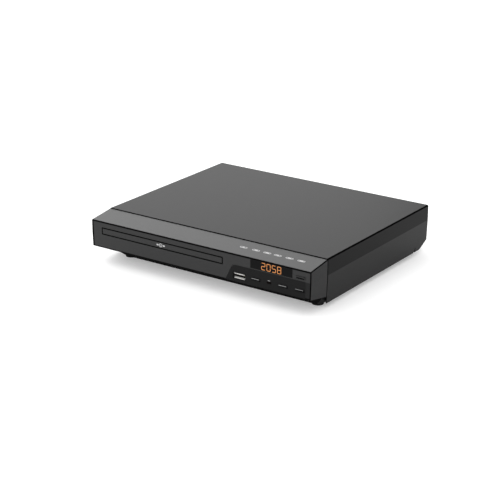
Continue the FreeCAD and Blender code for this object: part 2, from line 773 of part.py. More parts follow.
def front_panel():
    """Hollow moulding: upright face, sloped top and chin, openings, board posts and the lip."""
    profile = [
        (FACE_Y, FACE_LOW_Z),
        (FACE_Y, FACE_TOP_Z),
        (PANEL_REAR_Y, TOP_Z - SEAM_STEP),
        (PANEL_REAR_Y, PAN_Z + TAIL_BOTTOM),
    ]
    outer = side_prism(profile, -WIDTH / 2, WIDTH / 2)
    outer = outer.common(front_prism(shell_outline(0), FACE_Y - CUT, PANEL_REAR_Y + CUT))

    def edge_of_face(middle, way):
        on_face = abs(middle.y - FACE_Y) < PANEL_EDGE / 2
        on_bevel_side = abs(way.y) > 0.9 and middle.z > FACE_TOP_Z
        return on_face or on_bevel_side

    outer = rounded(outer, PANEL_EDGE, edge_of_face)
    y0 = FACE_Y + PANEL_WALL
    y1 = PANEL_REAR_Y + CUT
    hollow = [
        (y0, chin_z(y0) + CHIN_WALL),
        (y0, bevel_z(y0) - BEVEL_WALL),
        (y1, bevel_z(y1) - BEVEL_WALL),
        (y1, chin_z(y1) + CHIN_WALL),
    ]
    inner = side_prism(hollow, -WIDTH / 2, WIDTH / 2)
    inner = inner.common(front_prism(shell_outline(PANEL_WALL), FACE_Y - CUT, y1 + CUT))
    throat_half = WIDTH / 2 - SIDE_TAPER - PANEL_WALL
    throat = box(-throat_half, throat_half, PAN_Y + SHEET + FIT, y1, PAN_Z - CUT, FACE_LOW_Z)
    shell = cut(outer, inner, throat)
    posts = [bar(x, z, y0 - PANEL_WALL / 4, FRONT_BOARD_Y, POST_R) for x, z in FRONT_POSTS]
    shell = joined(shell, panel_lip(), *posts)

    slot_half = SLOT_WIDTH / 2
    slot = pillow(
        TRAY_X - slot_half, TRAY_X + slot_half, FACE_Y - CUT, y0 + CUT,
        SLOT_Z - SLOT_HEIGHT / 2, SLOT_Z + SLOT_HEIGHT / 2, SLOT_CORNER, V(0, 1, 0),
    )
    window = box(
        WINDOW_LEFT - TRIM_FIT, WINDOW_RIGHT + TRIM_FIT, FACE_Y - CUT, y0,
        WINDOW_LOW_Z - TRIM_FIT, WINDOW_TOP_Z + TRIM_FIT,
    )
    recess = front_prism(inlay_outline(TRIM_FIT), FACE_Y - CUT, FACE_Y + INLAY_THICK)
    port = slim_hole(PORT_X, PORT_Z, FACE_Y - CUT, y0 + CUT, PORT_WIDTH, PORT_HEIGHT, FIT)
    x, z = BUTTONS["standby_button"]
    standby = slim_hole(x, z, FACE_Y - CUT, y0 + CUT, BUTTON_WIDTH, BUTTON_HEIGHT, RUN_GAP)
    holes = [screw_hole(x, FRONT_BOARD_Y, z, V(0, -1, 0)) for x, z in FRONT_POSTS]
    holes = [hole.common(box(-WIDTH, WIDTH, y0, FRONT_BOARD_Y + CUT, 0, TOP_Z)) for hole in holes]
    holes += control_holes(FACE_Y - CUT, y0 + CUT)
    return cut(shell, slot, window, recess, port, standby, *holes)


def control_inlay():
    """The thin plate in the face's recess; its port opening is the mouth of the port's shell."""
    y0 = FACE_Y - CUT
    y1 = FACE_Y + INLAY_THICK + CUT
    mouth = slim_hole(
        PORT_X, PORT_Z, y0, y1, PORT_WIDTH - 2 * PORT_SHEET, PORT_HEIGHT - 2 * PORT_SHEET, 0,
    )
    plate = front_prism(inlay_outline(0), FACE_Y, FACE_Y + INLAY_THICK)
    return cut(plate, mouth, *control_holes(y0, y1))


def display_window():
    """Smoked window with a flange that is glued behind the face."""
    y1 = FACE_Y + PANEL_WALL
    pane = box(WINDOW_LEFT, WINDOW_RIGHT, FACE_Y, y1, WINDOW_LOW_Z, WINDOW_TOP_Z)
    flange = box(
        WINDOW_LEFT - WINDOW_FLANGE, WINDOW_RIGHT + WINDOW_FLANGE, y1, y1 + WINDOW_FLANGE_THICK,
        WINDOW_LOW_Z - WINDOW_FLANGE, bevel_z(y1) - BEVEL_WALL - TRIM_FIT,
    )
    return joined(pane, flange)


def sensor_window():
    half = SENSOR_WIDTH / 2
    y1 = FACE_Y + PANEL_WALL
    low = ROW_Z - BUTTON_HEIGHT / 2
    high = ROW_Z + BUTTON_HEIGHT / 2
    pane = pillow(SENSOR_X - half, SENSOR_X + half, FACE_Y, y1, low, high, BUTTON_EDGE, V(0, 1, 0))
    rim = BUTTON_FLANGE
    flange = box(SENSOR_X - half - rim, SENSOR_X + half + rim, y1, y1 + rim, low - rim, high + rim)
    return joined(pane, flange)


def pan_profile():
    """Side view of the pan's sheet: front wall, floor, sloped tail and rear flange."""
    tail_y = REAR_Y - TAIL_RUN
    slope = math.atan2(TAIL_RISE, TAIL_RUN)
    tail_in = SHEET * math.tan(slope / 2)
    flange_y = BACK_IN_Y
    flange_low = tail_z(flange_y)
    flange_in = flange_low + SHEET * math.tan((math.pi / 2 + slope) / 2) - SHEET * math.tan(slope)
    wall_top = chin_z(PAN_Y) - FIT - CHIN_SLOPE * SHEET
    return [
        (PAN_Y, wall_top),
        (PAN_Y, PAN_Z),
        (tail_y, PAN_Z),
        (flange_y, flange_low),
        (flange_y, flange_low + PAN_FLANGE),
        (flange_y - SHEET, flange_low + PAN_FLANGE),
        (flange_y - SHEET, tail_z(flange_y - SHEET) + SHEET / math.cos(slope)),
        (tail_y - tail_in, FLOOR_Z),
        (PAN_Y + SHEET, FLOOR_Z),
        (PAN_Y + SHEET, wall_top),
    ]


def corner_facet(edge, width):
    """The sloped triangle that clips a front corner of the pan, at one side edge."""
    points = [
        V(edge - math.copysign(width, edge), PAN_Y, PAN_Z),
        V(edge, PAN_Y + PAN_CORNER_RUN, PAN_Z),
        V(edge, PAN_Y, PAN_Z + PAN_CORNER_RISE),
    ]
    return Part.Face(Part.makePolygon(points + points[:1]))


def bottom_pan():
    """Folded sheet with clipped front corners, board standoffs, loader bosses and vents."""
    sheet = side_prism(pan_profile(), -PAN_HALF, PAN_HALF)
    flange_end = MAIN_LEFT - PAN_FLANGE_TO_BOARD
    beside = box(flange_end, WIDTH, REAR_Y - TAIL_RUN, REAR_Y, tail_z(BACK_IN_Y) + SHEET, TOP_Z)
    sheet = cut(sheet, beside)
    corner_y = PAN_Y + PAN_CORNER_RUN
    low_top = chin_z(PANEL_REAR_Y) - FIT
    walls = []
    for x in (-PAN_HALF, PAN_HALF - SHEET):
        walls.append(box(x, x + SHEET, PAN_Y, corner_y, PAN_Z, low_top))
        walls.append(box(x, x + SHEET, corner_y, REAR_Y - TAIL_RUN, PAN_Z, PAN_Z + PAN_WALL_HEIGHT))
    facets = [corner_facet(-PAN_HALF, LEFT_CORNER_WIDTH), corner_facet(PAN_HALF, RIGHT_CORNER_WIDTH)]
    below = [facet.extrude(V(0, 0, -PAN_CORNER_RISE - CUT)) for facet in facets]
    sheet = cut(joined(sheet, *walls), *below)
    slopes = [facet.extrude(V(0, 0, SHEET)) for facet in facets]
    standoffs = [post(x, y, FLOOR_Z, BOARD_Z, STANDOFF_R) for x, y in BOARD_HOLES]
    bosses = [post(x, y, FLOOR_Z, BASE_Z, LUG_R) for x, y in LUGS]
    pan = joined(sheet, *slopes, *standoffs, *bosses)
    holes = [post(x, y, FLOOR_Z, BOARD_Z + CUT, SCREW_R + SHAFT_GAP) for x, y in BOARD_HOLES]
    holes += [post(x, y, PAN_Z - CUT, BASE_Z + CUT, SCREW_R + SHAFT_GAP) for x, y in LUGS]
    holes += [post(x, y, PAN_Z - CUT, FLOOR_Z + CUT, FOOT_STEM_R + SHAFT_GAP) for x, y in FEET]
    holes += [screw_hole(x, BACK_IN_Y, z, V(0, -1, 0)) for x, z in PAN_SCREWS]
    middle = (MAIN_LEFT + MAIN_RIGHT) / 2
    for y in ((POWER_Y + POWER_REAR_Y) / 2, (MAIN_Y + MAIN_REAR_Y) / 2):
        for place in range(VENT_COUNT):
            x = middle + (place - (VENT_COUNT - 1) / 2) * VENT_PITCH
            half = VENT_LENGTH / 2
            holes.append(pillow(
                x - VENT_WIDTH / 2, x + VENT_WIDTH / 2, y - half, y + half,
                PAN_Z - CUT, FLOOR_Z + CUT, VENT_ROUND_SHARE * VENT_WIDTH, V(0, 0, 1),
            ))
    return cut(pan, *holes)


def rubber_feet():
    """Tapered rubber feet, each with a barbed stem through the pan."""
    tip = FOOT_BARB_R - FOOT_STEM_R
    profile = [
        (0, 0),
        (FOOT_TIP_R, 0),
        (FOOT_R, PAN_Z),
        (FOOT_STEM_R, PAN_Z),
        (FOOT_STEM_R, FLOOR_Z),
        (FOOT_BARB_R, FLOOR_Z),
        (FOOT_BARB_R - tip, FLOOR_Z + FOOT_BARB),
        (0, FLOOR_Z + FOOT_BARB),
    ]
    return Part.makeCompound([turned(profile, x, y) for x, y in FEET])


def av_outline(gap):
    """The flat socket's outline: wide at the top, with its lower corners cut off."""
    half = AV_WIDTH / 2 + gap
    low = BOARD_TOP_Z - gap
    high = BOARD_TOP_Z + AV_HEIGHT + gap
    return [
        (AV_X - half + AV_CHAMFER, low),
        (AV_X - half, low + AV_CHAMFER),
        (AV_X - half, high),
        (AV_X + half, high),
        (AV_X + half, low + AV_CHAMFER),
        (AV_X + half - AV_CHAMFER, low),
    ]


def rear_panel():
    """Flat sheet behind the works, cut out for the sockets, with a row of vents."""
    plate = front_prism(shell_outline(SHEET + REAR_FIT), BACK_IN_Y, BACK_Y)
    y0 = BACK_IN_Y - CUT
    y1 = BACK_Y + CUT
    holes = [box(-WIDTH, WIDTH, y0, y1, PAN_Z - CUT, PAN_Z + TAIL_RISE)]
    holes += [bar(x, JACK_Z, y0, y1, JACK_COLLAR_R + FIT) for x in JACKS]
    holes.append(front_prism(av_outline(FIT), y0, y1))
    half = INLET_WIDTH / 2 + FIT
    rise = INLET_HEIGHT / 2 + FIT
    holes.append(box(INLET_X - half, INLET_X + half, y0, y1, INLET_Z - rise, INLET_Z + rise))
    holes += [screw_hole(x, REAR_Y, z, V(0, -1, 0)) for x, z in COVER_SCREWS + PAN_SCREWS]
    vent_z = (PAN_Z + TAIL_RISE + TOP_Z) / 2
    for place in range(REAR_VENT_COUNT):
        x = REAR_VENT_SIDE - WIDTH / 2 + place * REAR_VENT_PITCH
        holes.append(pillow(
            x - REAR_VENT_WIDTH / 2, x + REAR_VENT_WIDTH / 2, y0, y1,
            vent_z - REAR_VENT_LENGTH / 2, vent_z + REAR_VENT_LENGTH / 2,
            VENT_ROUND_SHARE * REAR_VENT_WIDTH, V(0, 1, 0),
        ))
    return cut(plate, *holes)


def rear_screws():
    """Three through the cover's flange, two through the rear panel into the pan."""
    inward = V(0, -1, 0)
    screws = [screw(x, REAR_Y, z, inward) for x, z in COVER_SCREWS]
    screws += [screw(x, BACK_Y, z, inward) for x, z in PAN_SCREWS]
    return Part.makeCompound(screws)


# Controls
def push_button(x, z):
    """A slim cap with a flange behind the face and a stem into its switch."""
    half = BUTTON_WIDTH / 2
    rise = BUTTON_HEIGHT / 2
    cap = box(x - half, x + half, FACE_Y - BUTTON_PROUD, BUTTON_REAR_Y, z - rise, z + rise)
    front = FACE_Y - BUTTON_PROUD
    cap = rounded(cap, BUTTON_EDGE, lambda middle, way: abs(middle.y - front) < BUTTON_PROUD / 2)
    flange_y = FACE_Y + PANEL_WALL + TRIM_FIT
    rim = BUTTON_FLANGE
    flange = box(x - half - rim, x + half + rim, flange_y, BUTTON_REAR_Y, z - rise - rim, z + rise + rim)
    stem = bar(x, z, flange_y, SWITCH_Y + STEM_ENTRY, BUTTON_STEM_R)
    return joined(cap, flange, stem)


def button_switches():
    """One square switch per button; the button's stem is its plunger and moves in its well."""
    half = SWITCH_SIDE / 2
    depth = STEM_ENTRY + BUTTON_TRAVEL + RUN_GAP
    switches = [
        cut(
            box(x - half, x + half, SWITCH_Y, FRONT_BOARD_Y, z - half, z + half),
            bar(x, z, SWITCH_Y - CUT, SWITCH_Y + depth, BUTTON_STEM_R + FIT),
        )
        for x, z in BUTTONS.values()
    ]
    return Part.makeCompound(switches)


def front_board():
    y1 = FRONT_BOARD_Y + BOARD_THICK
    low = chin_z(FRONT_BOARD_Y) + CHIN_WALL + BOARD_EDGE_GAP
    high = bevel_z(FRONT_BOARD_Y) - BEVEL_WALL - BOARD_EDGE_GAP
    x0 = INLAY_LEFT + FRONT_BOARD_IN
    board = box(x0, INLAY_RIGHT + FRONT_BOARD_OUT, FRONT_BOARD_Y, y1, low, high)
    return cut(board, *[screw_hole(x, y1, z, V(0, -1, 0)) for x, z in FRONT_POSTS])


def display_module():
    """A block on the front board whose face carries four figure recesses."""
    x0 = WINDOW_LEFT + DISPLAY_INSET
    x1 = WINDOW_RIGHT - DISPLAY_INSET
    z0 = WINDOW_LOW_Z + DISPLAY_DROP / 2
    z1 = WINDOW_TOP_Z - DISPLAY_DROP
    y0 = FRONT_BOARD_Y - DISPLAY_DEPTH
    block = box(x0, x1, y0, FRONT_BOARD_Y, z0, z1)
    cell = (x1 - x0) / 4
    wells = [
        box(
            x0 + place * cell + DISPLAY_DROP, x0 + (place + 1) * cell - DISPLAY_DROP,
            y0 - CUT, y0 + DISPLAY_DROP, z0 + DISPLAY_DROP, z1 - DISPLAY_DROP,
        )
        for place in range(4)
    ]
    return cut(block, *wells)


def remote_sensor():
    half = EYE_WIDTH / 2
    rise = EYE_HEIGHT / 2
    y0 = FRONT_BOARD_Y - EYE_THICK
    body = box(SENSOR_X - half, SENSOR_X + half, y0, FRONT_BOARD_Y, ROW_Z - rise, ROW_Z + rise)
    return joined(body, Part.makeSphere(EYE_DOME_R, V(SENSOR_X, y0, ROW_Z)))


def data_port_shell():
    half = PORT_WIDTH / 2
    rise = PORT_HEIGHT / 2
    y0 = FACE_Y + PORT_SETBACK
    outer = pillow(
        PORT_X - half, PORT_X + half, y0, FRONT_BOARD_Y, PORT_Z - rise, PORT_Z + rise,
        PORT_CORNER, V(0, 1, 0),
    )
    inner = pillow(
        PORT_X - half + PORT_SHEET, PORT_X + half - PORT_SHEET, y0 - CUT, FRONT_BOARD_Y + CUT,
        PORT_Z - rise + PORT_SHEET, PORT_Z + rise - PORT_SHEET, PORT_CORNER - PORT_SHEET, V(0, 1, 0),
    )
    return cut(outer, inner)


def data_port_tongue():
    """The moulded block at the back of the port with the contact tongue in front."""
    half = PORT_WIDTH / 2 - PORT_SHEET - SHAFT_GAP
    rise = PORT_HEIGHT / 2 - PORT_SHEET - SHAFT_GAP
    block_y = FRONT_BOARD_Y - PORT_BLOCK
    block = pillow(
        PORT_X - half, PORT_X + half, block_y, FRONT_BOARD_Y, PORT_Z - rise, PORT_Z + rise,
        PORT_CORNER - PORT_SHEET, V(0, 1, 0),
    )
    middle = PORT_Z - TONGUE_DROP
    tongue = box(
        PORT_X - TONGUE_WIDTH / 2, PORT_X + TONGUE_WIDTH / 2, FACE_Y + PORT_SETBACK + TONGUE_SETBACK,
        FRONT_BOARD_Y, middle - TONGUE_THICK / 2, middle + TONGUE_THICK / 2,
    )
    return joined(block, tongue)


def board_screws():
    screws = [screw(x, y, BOARD_TOP_Z, V(0, 0, -1)) for x, y in BOARD_HOLES]
    screws += [screw(x, FRONT_BOARD_Y + BOARD_THICK, z, V(0, -1, 0)) for x, z in FRONT_POSTS]
    return Part.makeCompound(screws)


# Gear teeth
def involute(angle):
    return math.tan(angle) - angle


def gear_outline(module, teeth, phase):
    """Outline of an involute gear with stub teeth about the origin, one tooth at the phase angle."""
    pitch_r = module * teeth / 2
    base_r = pitch_r * math.cos(PRESSURE_ANGLE)
    tip_r = pitch_r + ADDENDUM_SHARE * module
    root_r = pitch_r - DEDENDUM_SHARE * module
    half = (math.pi / 2 - BACKLASH_SHARE) * module / (2 * pitch_r) + involute(PRESSURE_ANGLE)
    start_r = max(base_r, root_r)
    flank = [start_r + (tip_r - start_r) * step / FLANK_STEPS for step in range(FLANK_STEPS + 1)]
    spread = [(r, half - involute(math.acos(base_r / r))) for r in flank]
    spread.insert(0, (root_r, spread[0][1]))
    tooth = [(r, -turn) for r, turn in spread] + [(r, turn) for r, turn in reversed(spread)]
    outline = []
    for number in range(teeth):
        middle = phase + 2 * math.pi * number / teeth
        outline += [(r * math.cos(middle + turn), r * math.sin(middle + turn)) for r, turn in tooth]
    return outline


def gear(x, y, z0, z1, module, teeth, phase):
    return plan_prism([(x + u, y + v) for u, v in gear_outline(module, teeth, phase)], z0, z1)


def rack_outline():
    """The rack's plan: a straight rib with teeth towards the drive gear."""
    slope = math.tan(PRESSURE_ANGLE)
    tip = ADDENDUM_SHARE * RACK_MODULE
    root = DEDENDUM_SHARE * RACK_MODULE
    half = (math.pi / 2 - BACKLASH_SHARE) * RACK_MODULE / 2
    back_x = RACK_X + root + RACK_RIB
    outline = [(back_x, RACK_END_Y), (back_x, RACK_START_Y)]
    for number in range(RACK_COUNT):
        middle = RACK_START_Y + (number + 0.5) * RACK_PITCH
        outline.append((RACK_X + root, middle - half - root * slope))
        outline.append((RACK_X - tip, middle - half + tip * slope))
        outline.append((RACK_X - tip, middle + half - tip * slope))
        outline.append((RACK_X + root, middle + half + root * slope))
    outline.append((RACK_X + root, RACK_END_Y))
    return outline


# Loader
def disc_tray():
    """Moulded tray: wells for two disc sizes, a window for the works, hollow corners, a rack in a groove."""
    x0 = TRAY_X - TRAY_HALF
    x1 = TRAY_X + TRAY_HALF
    tray = box(x0, x1, TRAY_Y, TRAY_REAR_Y, TRAY_Z, TRAY_TOP_Z)
    tray = rounded(tray, TRAY_CORNER, lambda middle, way: abs(way.z) > 0.9 and middle.y > DISC_Y)
    under = box(
        x0 + TRAY_RIM, x1 - TRAY_RIM, TRAY_Y + TRAY_RIM, TRAY_REAR_Y - TRAY_CORNER,
        TRAY_Z - CUT, TRAY_TOP_Z - TRAY_SKIN,
    )
    pockets = cut(under, post(TRAY_X, DISC_Y, TRAY_Z - 2 * CUT, TRAY_TOP_Z, WELL_R + TRAY_RIM))
    back_x = RACK_X + DEDENDUM_SHARE * RACK_MODULE
    reach = RACK_MODULE * (RACK_TEETH / 2 + ADDENDUM_SHARE) + RUN_GAP
    groove = box(DRIVE_X - reach, back_x, DRIVE_Y - reach, TRAY_REAR_Y + CUT, TRAY_Z - CUT, GROOVE_Z)
    tray = cut(tray, pockets, groove)
    rib = box(back_x, back_x + RACK_RIB, RACK_START_Y, RACK_END_Y, RACK_Z, TRAY_TOP_Z - TRAY_SKIN / 2)
    tray = joined(tray, rib, plan_prism(rack_outline(), RACK_Z, GROOVE_Z))
    small_r = SMALL_DISC_R + DISC_PLAY
    well = post(TRAY_X, DISC_Y, RECESS_Z, TRAY_TOP_Z + CUT, WELL_R)
    small_well = post(TRAY_X, DISC_Y, RECESS_Z - SMALL_RECESS, TRAY_TOP_Z + CUT, small_r)
    low = TRAY_Z - CUT
    high = TRAY_TOP_Z + CUT
    half = TRAY_WINDOW_R
    centre = post(TRAY_X, DISC_Y, low, high, half)
    reach = LENS_INNER + SLED_TRAVEL + TRAY_WINDOW_MORE
    lane = box(TRAY_X - half, TRAY_X + half, DISC_Y, DISC_Y + reach, low, high)
    return cut(tray, well, small_well, centre, lane)


def tray_door():
    half = SLOT_WIDTH / 2 - DOOR_GAP
    rise = SLOT_HEIGHT / 2 - DOOR_GAP
    door = box(TRAY_X - half, TRAY_X + half, FACE_Y, TRAY_Y, SLOT_Z - rise, SLOT_Z + rise)
    return rounded(door, DOOR_EDGE, lambda middle, way: abs(middle.y - FACE_Y) < DOOR_EDGE)


def frame_wall(side):
    """Side wall of the loader: a ledge under the tray's edge and a guide over it."""
    ledge = TRAY_Z - FIT
    guide = TRAY_TOP_Z + RUN_GAP
    outline = [
        (FRAME_OUT, BASE_Z),
        (FRAME_IN, BASE_Z),
        (FRAME_IN, ledge - LEDGE_THICK),
        (FRAME_IN - LEDGE_REACH, ledge - LEDGE_THICK),
        (FRAME_IN - LEDGE_REACH, ledge),
        (FRAME_IN, ledge),
        (FRAME_IN, guide),
        (FRAME_IN - GUIDE_REACH, guide),
        (FRAME_IN - GUIDE_REACH, guide + GUIDE_THICK),
        (FRAME_IN, guide + GUIDE_THICK),
        (FRAME_IN, BRIDGE_Z),
        (FRAME_OUT, BRIDGE_Z),
    ]
    placed = [(TRAY_X + side * x, z) for x, z in outline]
    wall = front_prism(placed, FACE_Y + GUIDE_FRONT, LOADER_REAR_Y)
    toe = box(-WIDTH, WIDTH, FACE_Y, LOADER_Y, BASE_Z - CUT, ledge - LEDGE_THICK)
    return cut(wall, toe)


def bush_post(side):
    """Upright on the loader's base that holds a rubber bush of the traverse."""
    x0 = TRAY_X + side * (PLATE_HALF + BUSH_GAP)
    x1 = x0 + side * BUSH_LENGTH
    reach = TRUNNION_R + SHAFT_GAP + BUSH_WALL + BUSH_POST_WALL
    block = box(min(x0, x1), max(x0, x1), PIVOT_Y - reach, PIVOT_Y + reach, BASE_Z, PIVOT_Z + reach)
    hole_r = TRUNNION_R + BUSH_WALL + 2 * SHAFT_GAP
    start = V(min(x0, x1) - CUT, PIVOT_Y, PIVOT_Z)
    hole = Part.makeCylinder(hole_r, BUSH_LENGTH + 2 * CUT, start, V(1, 0, 0))
    return cut(block, hole)


def cam_hook(share):
    """Hook on the base that keeps the cam slider's foot down."""
    x0 = TRAY_X + share * PLATE_HALF - HOOK_WIDTH / 2
    x1 = x0 + HOOK_WIDTH
    foot_y = CAM_Y - CAM_FOOT
    over = BASE_TOP_Z + CAM_FOOT_THICK + 2 * FIT
    stem = box(x0, x1, foot_y - FIT - HOOK_WALL, foot_y - FIT, BASE_Z, over + HOOK_LIP)
    lip = box(x0, x1, foot_y - FIT - HOOK_WALL, foot_y + HOOK_LIP, over, over + HOOK_LIP)
    return joined(stem, lip)


def motor_cheeks():
    """Two curved cheeks that hold the loading motor."""
    inner_r = LOAD_MOTOR_R + SHAFT_GAP
    top = BASE_TOP_Z + CHEEK_HEIGHT
    ring = cut(
        post(LOAD_MOTOR_X, LOAD_MOTOR_Y, BASE_Z, top, inner_r + CHEEK_WALL),
        post(LOAD_MOTOR_X, LOAD_MOTOR_Y, BASE_TOP_Z, top + CUT, inner_r),
    )
    reach = inner_r / 2
    keep = box(-WIDTH, WIDTH, LOAD_MOTOR_Y - reach, LOAD_MOTOR_Y + reach, BASE_Z, top)
    return ring.common(keep)


def loader_frame():
    """Moulded frame: base with a window, side walls, rear wall, gear posts, hooks and bush posts."""
    base = box(
        TRAY_X - FRAME_OUT, TRAY_X + FRAME_OUT, LOADER_Y, LOADER_REAR_Y, BASE_Z, BASE_TOP_Z,
    )
    window_half = PLATE_HALF + BASE_WINDOW_GAP
    window = pillow(
        TRAY_X - window_half, TRAY_X + window_half, CAM_Y + CAM_WALL + RUN_GAP, PIVOT_Y,
        BASE_Z - CUT, BASE_TOP_Z + CUT, TRAY_CORNER, V(0, 0, 1),
    )
    base = cut(base, window)
    rear = box(
        TRAY_X - FRAME_OUT, TRAY_X + FRAME_OUT, LOADER_REAR_Y - FRAME_WALL, LOADER_REAR_Y,
        BASE_Z, TRAY_Z - FIT,
    )
    pieces = [rear, frame_wall(-1), frame_wall(1), bush_post(-1), bush_post(1), motor_cheeks()]
    pieces += [cam_hook(share) for share in HOOK_SHARES]
    for x, top in ((DRIVE_X, GROOVE_Z - 2 * RUN_GAP), (PULLEY_X, PULLEY_TOP_Z + FIT)):
        pieces.append(post(x, DRIVE_Y, BASE_Z, top, GEAR_POST_R))
        pieces.append(post(x, DRIVE_Y, BASE_Z, GEAR_Z - FIT, GEAR_SEAT_R))
    frame = joined(base, *pieces)
    down = V(0, 0, -1)
    holes = [screw_hole(x, y, BASE_TOP_Z, down) for x, y in LUGS]
    holes += [screw_hole(x, y, BRIDGE_Z, down) for x, y in BRIDGE_SCREWS]
    return cut(frame, *holes)


def loader_screws():
    down = V(0, 0, -1)
    screws = [screw(x, y, BASE_TOP_Z, down) for x, y in LUGS]
    screws += [screw(x, y, BRIDGE_Z + BRIDGE_SHEET, down) for x, y in BRIDGE_SCREWS]
    return Part.makeCompound(screws)


def clamp_bridge():
    """Pressed strip over the tray, with two stiffening beads and the clamper's hole."""
    x0 = TRAY_X - FRAME_OUT
    x1 = TRAY_X + FRAME_OUT
    top = BRIDGE_Z + BRIDGE_SHEET
    plate = box(x0, x1, DISC_Y - BRIDGE_HALF, DISC_Y + BRIDGE_HALF, BRIDGE_Z, top)
    beads = []
    for side in (-1, 1):
        y = DISC_Y + side * (BRIDGE_HALF - BRIDGE_BEAD_WIDTH)
        half = BRIDGE_BEAD_WIDTH / 2
        profile = [
            (y - half, top),
            (y - half / 2, top + BRIDGE_BEAD),
            (y + half / 2, top + BRIDGE_BEAD),
            (y + half, top),
        ]
        for x, end in ((x0 + FRAME_WALL, TRAY_X - YOKE_R), (TRAY_X + YOKE_R, x1 - FRAME_WALL)):
            beads.append(side_prism(profile, x, end))
    bridge = joined(plate, *beads)
    hole = post(TRAY_X, DISC_Y, BRIDGE_Z - CUT, top + CUT, CLAMPER_NECK_R + CLAMPER_NECK_GAP)
    screws = [screw_hole(x, y, top, V(0, 0, -1)) for x, y in BRIDGE_SCREWS]
    return cut(bridge, hole, *screws)


def disc_clamper():
    """Round puck that hangs in the bridge by its yoke, hollow below for the turntable's hub."""
    low = TRAY_TOP_Z + CLAMPER_RISE
    flange = low + CLAMPER_THICK
    top = BRIDGE_Z + BRIDGE_SHEET + FIT
    return turned(
        [
            (0, low + CLAMPER_CAVITY),
            (CLAMPER_CAVITY_R, low + CLAMPER_CAVITY),
            (CLAMPER_CAVITY_R, low),
            (CLAMPER_R, low),
            (CLAMPER_R, flange),
            (CLAMPER_NECK_R, flange),
            (CLAMPER_NECK_R, top),
            (0, top),
        ],
        TRAY_X, DISC_Y,
    )


def clamper_yoke():
    low = BRIDGE_Z + BRIDGE_SHEET + FIT
    edge = YOKE_THICK / 2
    return turned(
        [
            (0, low),
            (YOKE_R, low),
            (YOKE_R, low + edge),
            (YOKE_R - edge, low + YOKE_THICK),
            (0, low + YOKE_THICK),
        ],
        TRAY_X, DISC_Y,
    )


def pulley_profile(line_r, bore_r):
    """Grooved rim about a bore, at the belt's height."""
    groove = line_r - BELT_THICK / 2 - RUN_GAP
    flange = line_r + PULLEY_FLANGE
    return [
        (bore_r, PULLEY_Z),
        (flange, PULLEY_Z),
        (flange, PULLEY_Z + PULLEY_RIM - FIT),
        (groove, PULLEY_Z + PULLEY_RIM - FIT / 2),
        (groove, PULLEY_TOP_Z - PULLEY_RIM + FIT / 2),
        (flange, PULLEY_TOP_Z - PULLEY_RIM + FIT),
        (flange, PULLEY_TOP_Z),
        (bore_r, PULLEY_TOP_Z),
    ]


def loading_motor():
    """Round motor standing on the base, with its shaft up into the motor pulley."""
    top = PULLEY_Z - RUN_GAP
    shoulder = top - LOAD_BOSS
    edge = LOAD_BOSS
    return turned(
        [
            (0, BASE_TOP_Z),
            (LOAD_MOTOR_R, BASE_TOP_Z),
            (LOAD_MOTOR_R, shoulder - edge),
            (LOAD_MOTOR_R - edge, shoulder),
            (LOAD_BOSS_R, shoulder),
            (LOAD_BOSS_R, top),
            (LOAD_SHAFT_R, top),
            (LOAD_SHAFT_R, PULLEY_TOP_Z + RUN_GAP),
            (0, PULLEY_TOP_Z + RUN_GAP),
        ],
        LOAD_MOTOR_X, LOAD_MOTOR_Y,
    )


def motor_pulley():
    return turned(pulley_profile(MOTOR_LINE_R, LOAD_SHAFT_R + SHAFT_GAP), LOAD_MOTOR_X, LOAD_MOTOR_Y)


def belt_loop(offset):
    """Flat outline round both pulleys, offset from the belt's middle line."""
    big_r = PULLEY_LINE_R + offset
    small_r = MOTOR_LINE_R + offset
    z = PULLEY_Z + PULLEY_RIM
    big = V(PULLEY_X, DRIVE_Y, z)
    small = V(LOAD_MOTOR_X, LOAD_MOTOR_Y, z)
    way = math.atan2(small.y - big.y, small.x - big.x)
    lean = math.acos((big_r - small_r) / (small - big).Length)

    def rim(centre, radius, angle):
        return centre + V(math.cos(angle), math.sin(angle), 0) * radius

    big_start = rim(big, big_r, way + lean)
    big_end = rim(big, big_r, way - lean)
    small_start = rim(small, small_r, way - lean)
    small_end = rim(small, small_r, way + lean)
    edges = [
        Part.Arc(big_start, rim(big, big_r, way + math.pi), big_end).toShape(),
        Part.LineSegment(big_end, small_start).toShape(),
        Part.Arc(small_start, rim(small, small_r, way), small_end).toShape(),
        Part.LineSegment(small_end, big_start).toShape(),
    ]
    return Part.Face(Part.Wire(edges)).extrude(V(0, 0, BELT_THICK))


def drive_belt():
    return cut(belt_loop(BELT_THICK / 2), belt_loop(-BELT_THICK / 2))


def pulley_gear():
    """Belt pulley on top, pinion below, on one hub."""
    bore_r = GEAR_POST_R + SHAFT_GAP
    phase = math.pi / PINION_TEETH
    pinion = gear(PULLEY_X, DRIVE_Y, GEAR_Z, GEAR_Z + PINION_FACE, GEAR_MODULE, PINION_TEETH, phase)
    hub = post(PULLEY_X, DRIVE_Y, GEAR_Z, PULLEY_TOP_Z, bore_r + HUB_WALL)
    pulley = turned(pulley_profile(PULLEY_LINE_R, bore_r), PULLEY_X, DRIVE_Y)
    bore = post(PULLEY_X, DRIVE_Y, GEAR_Z - CUT, PULLEY_TOP_Z + CUT, bore_r)
    return cut(joined(pinion, hub, pulley), bore)


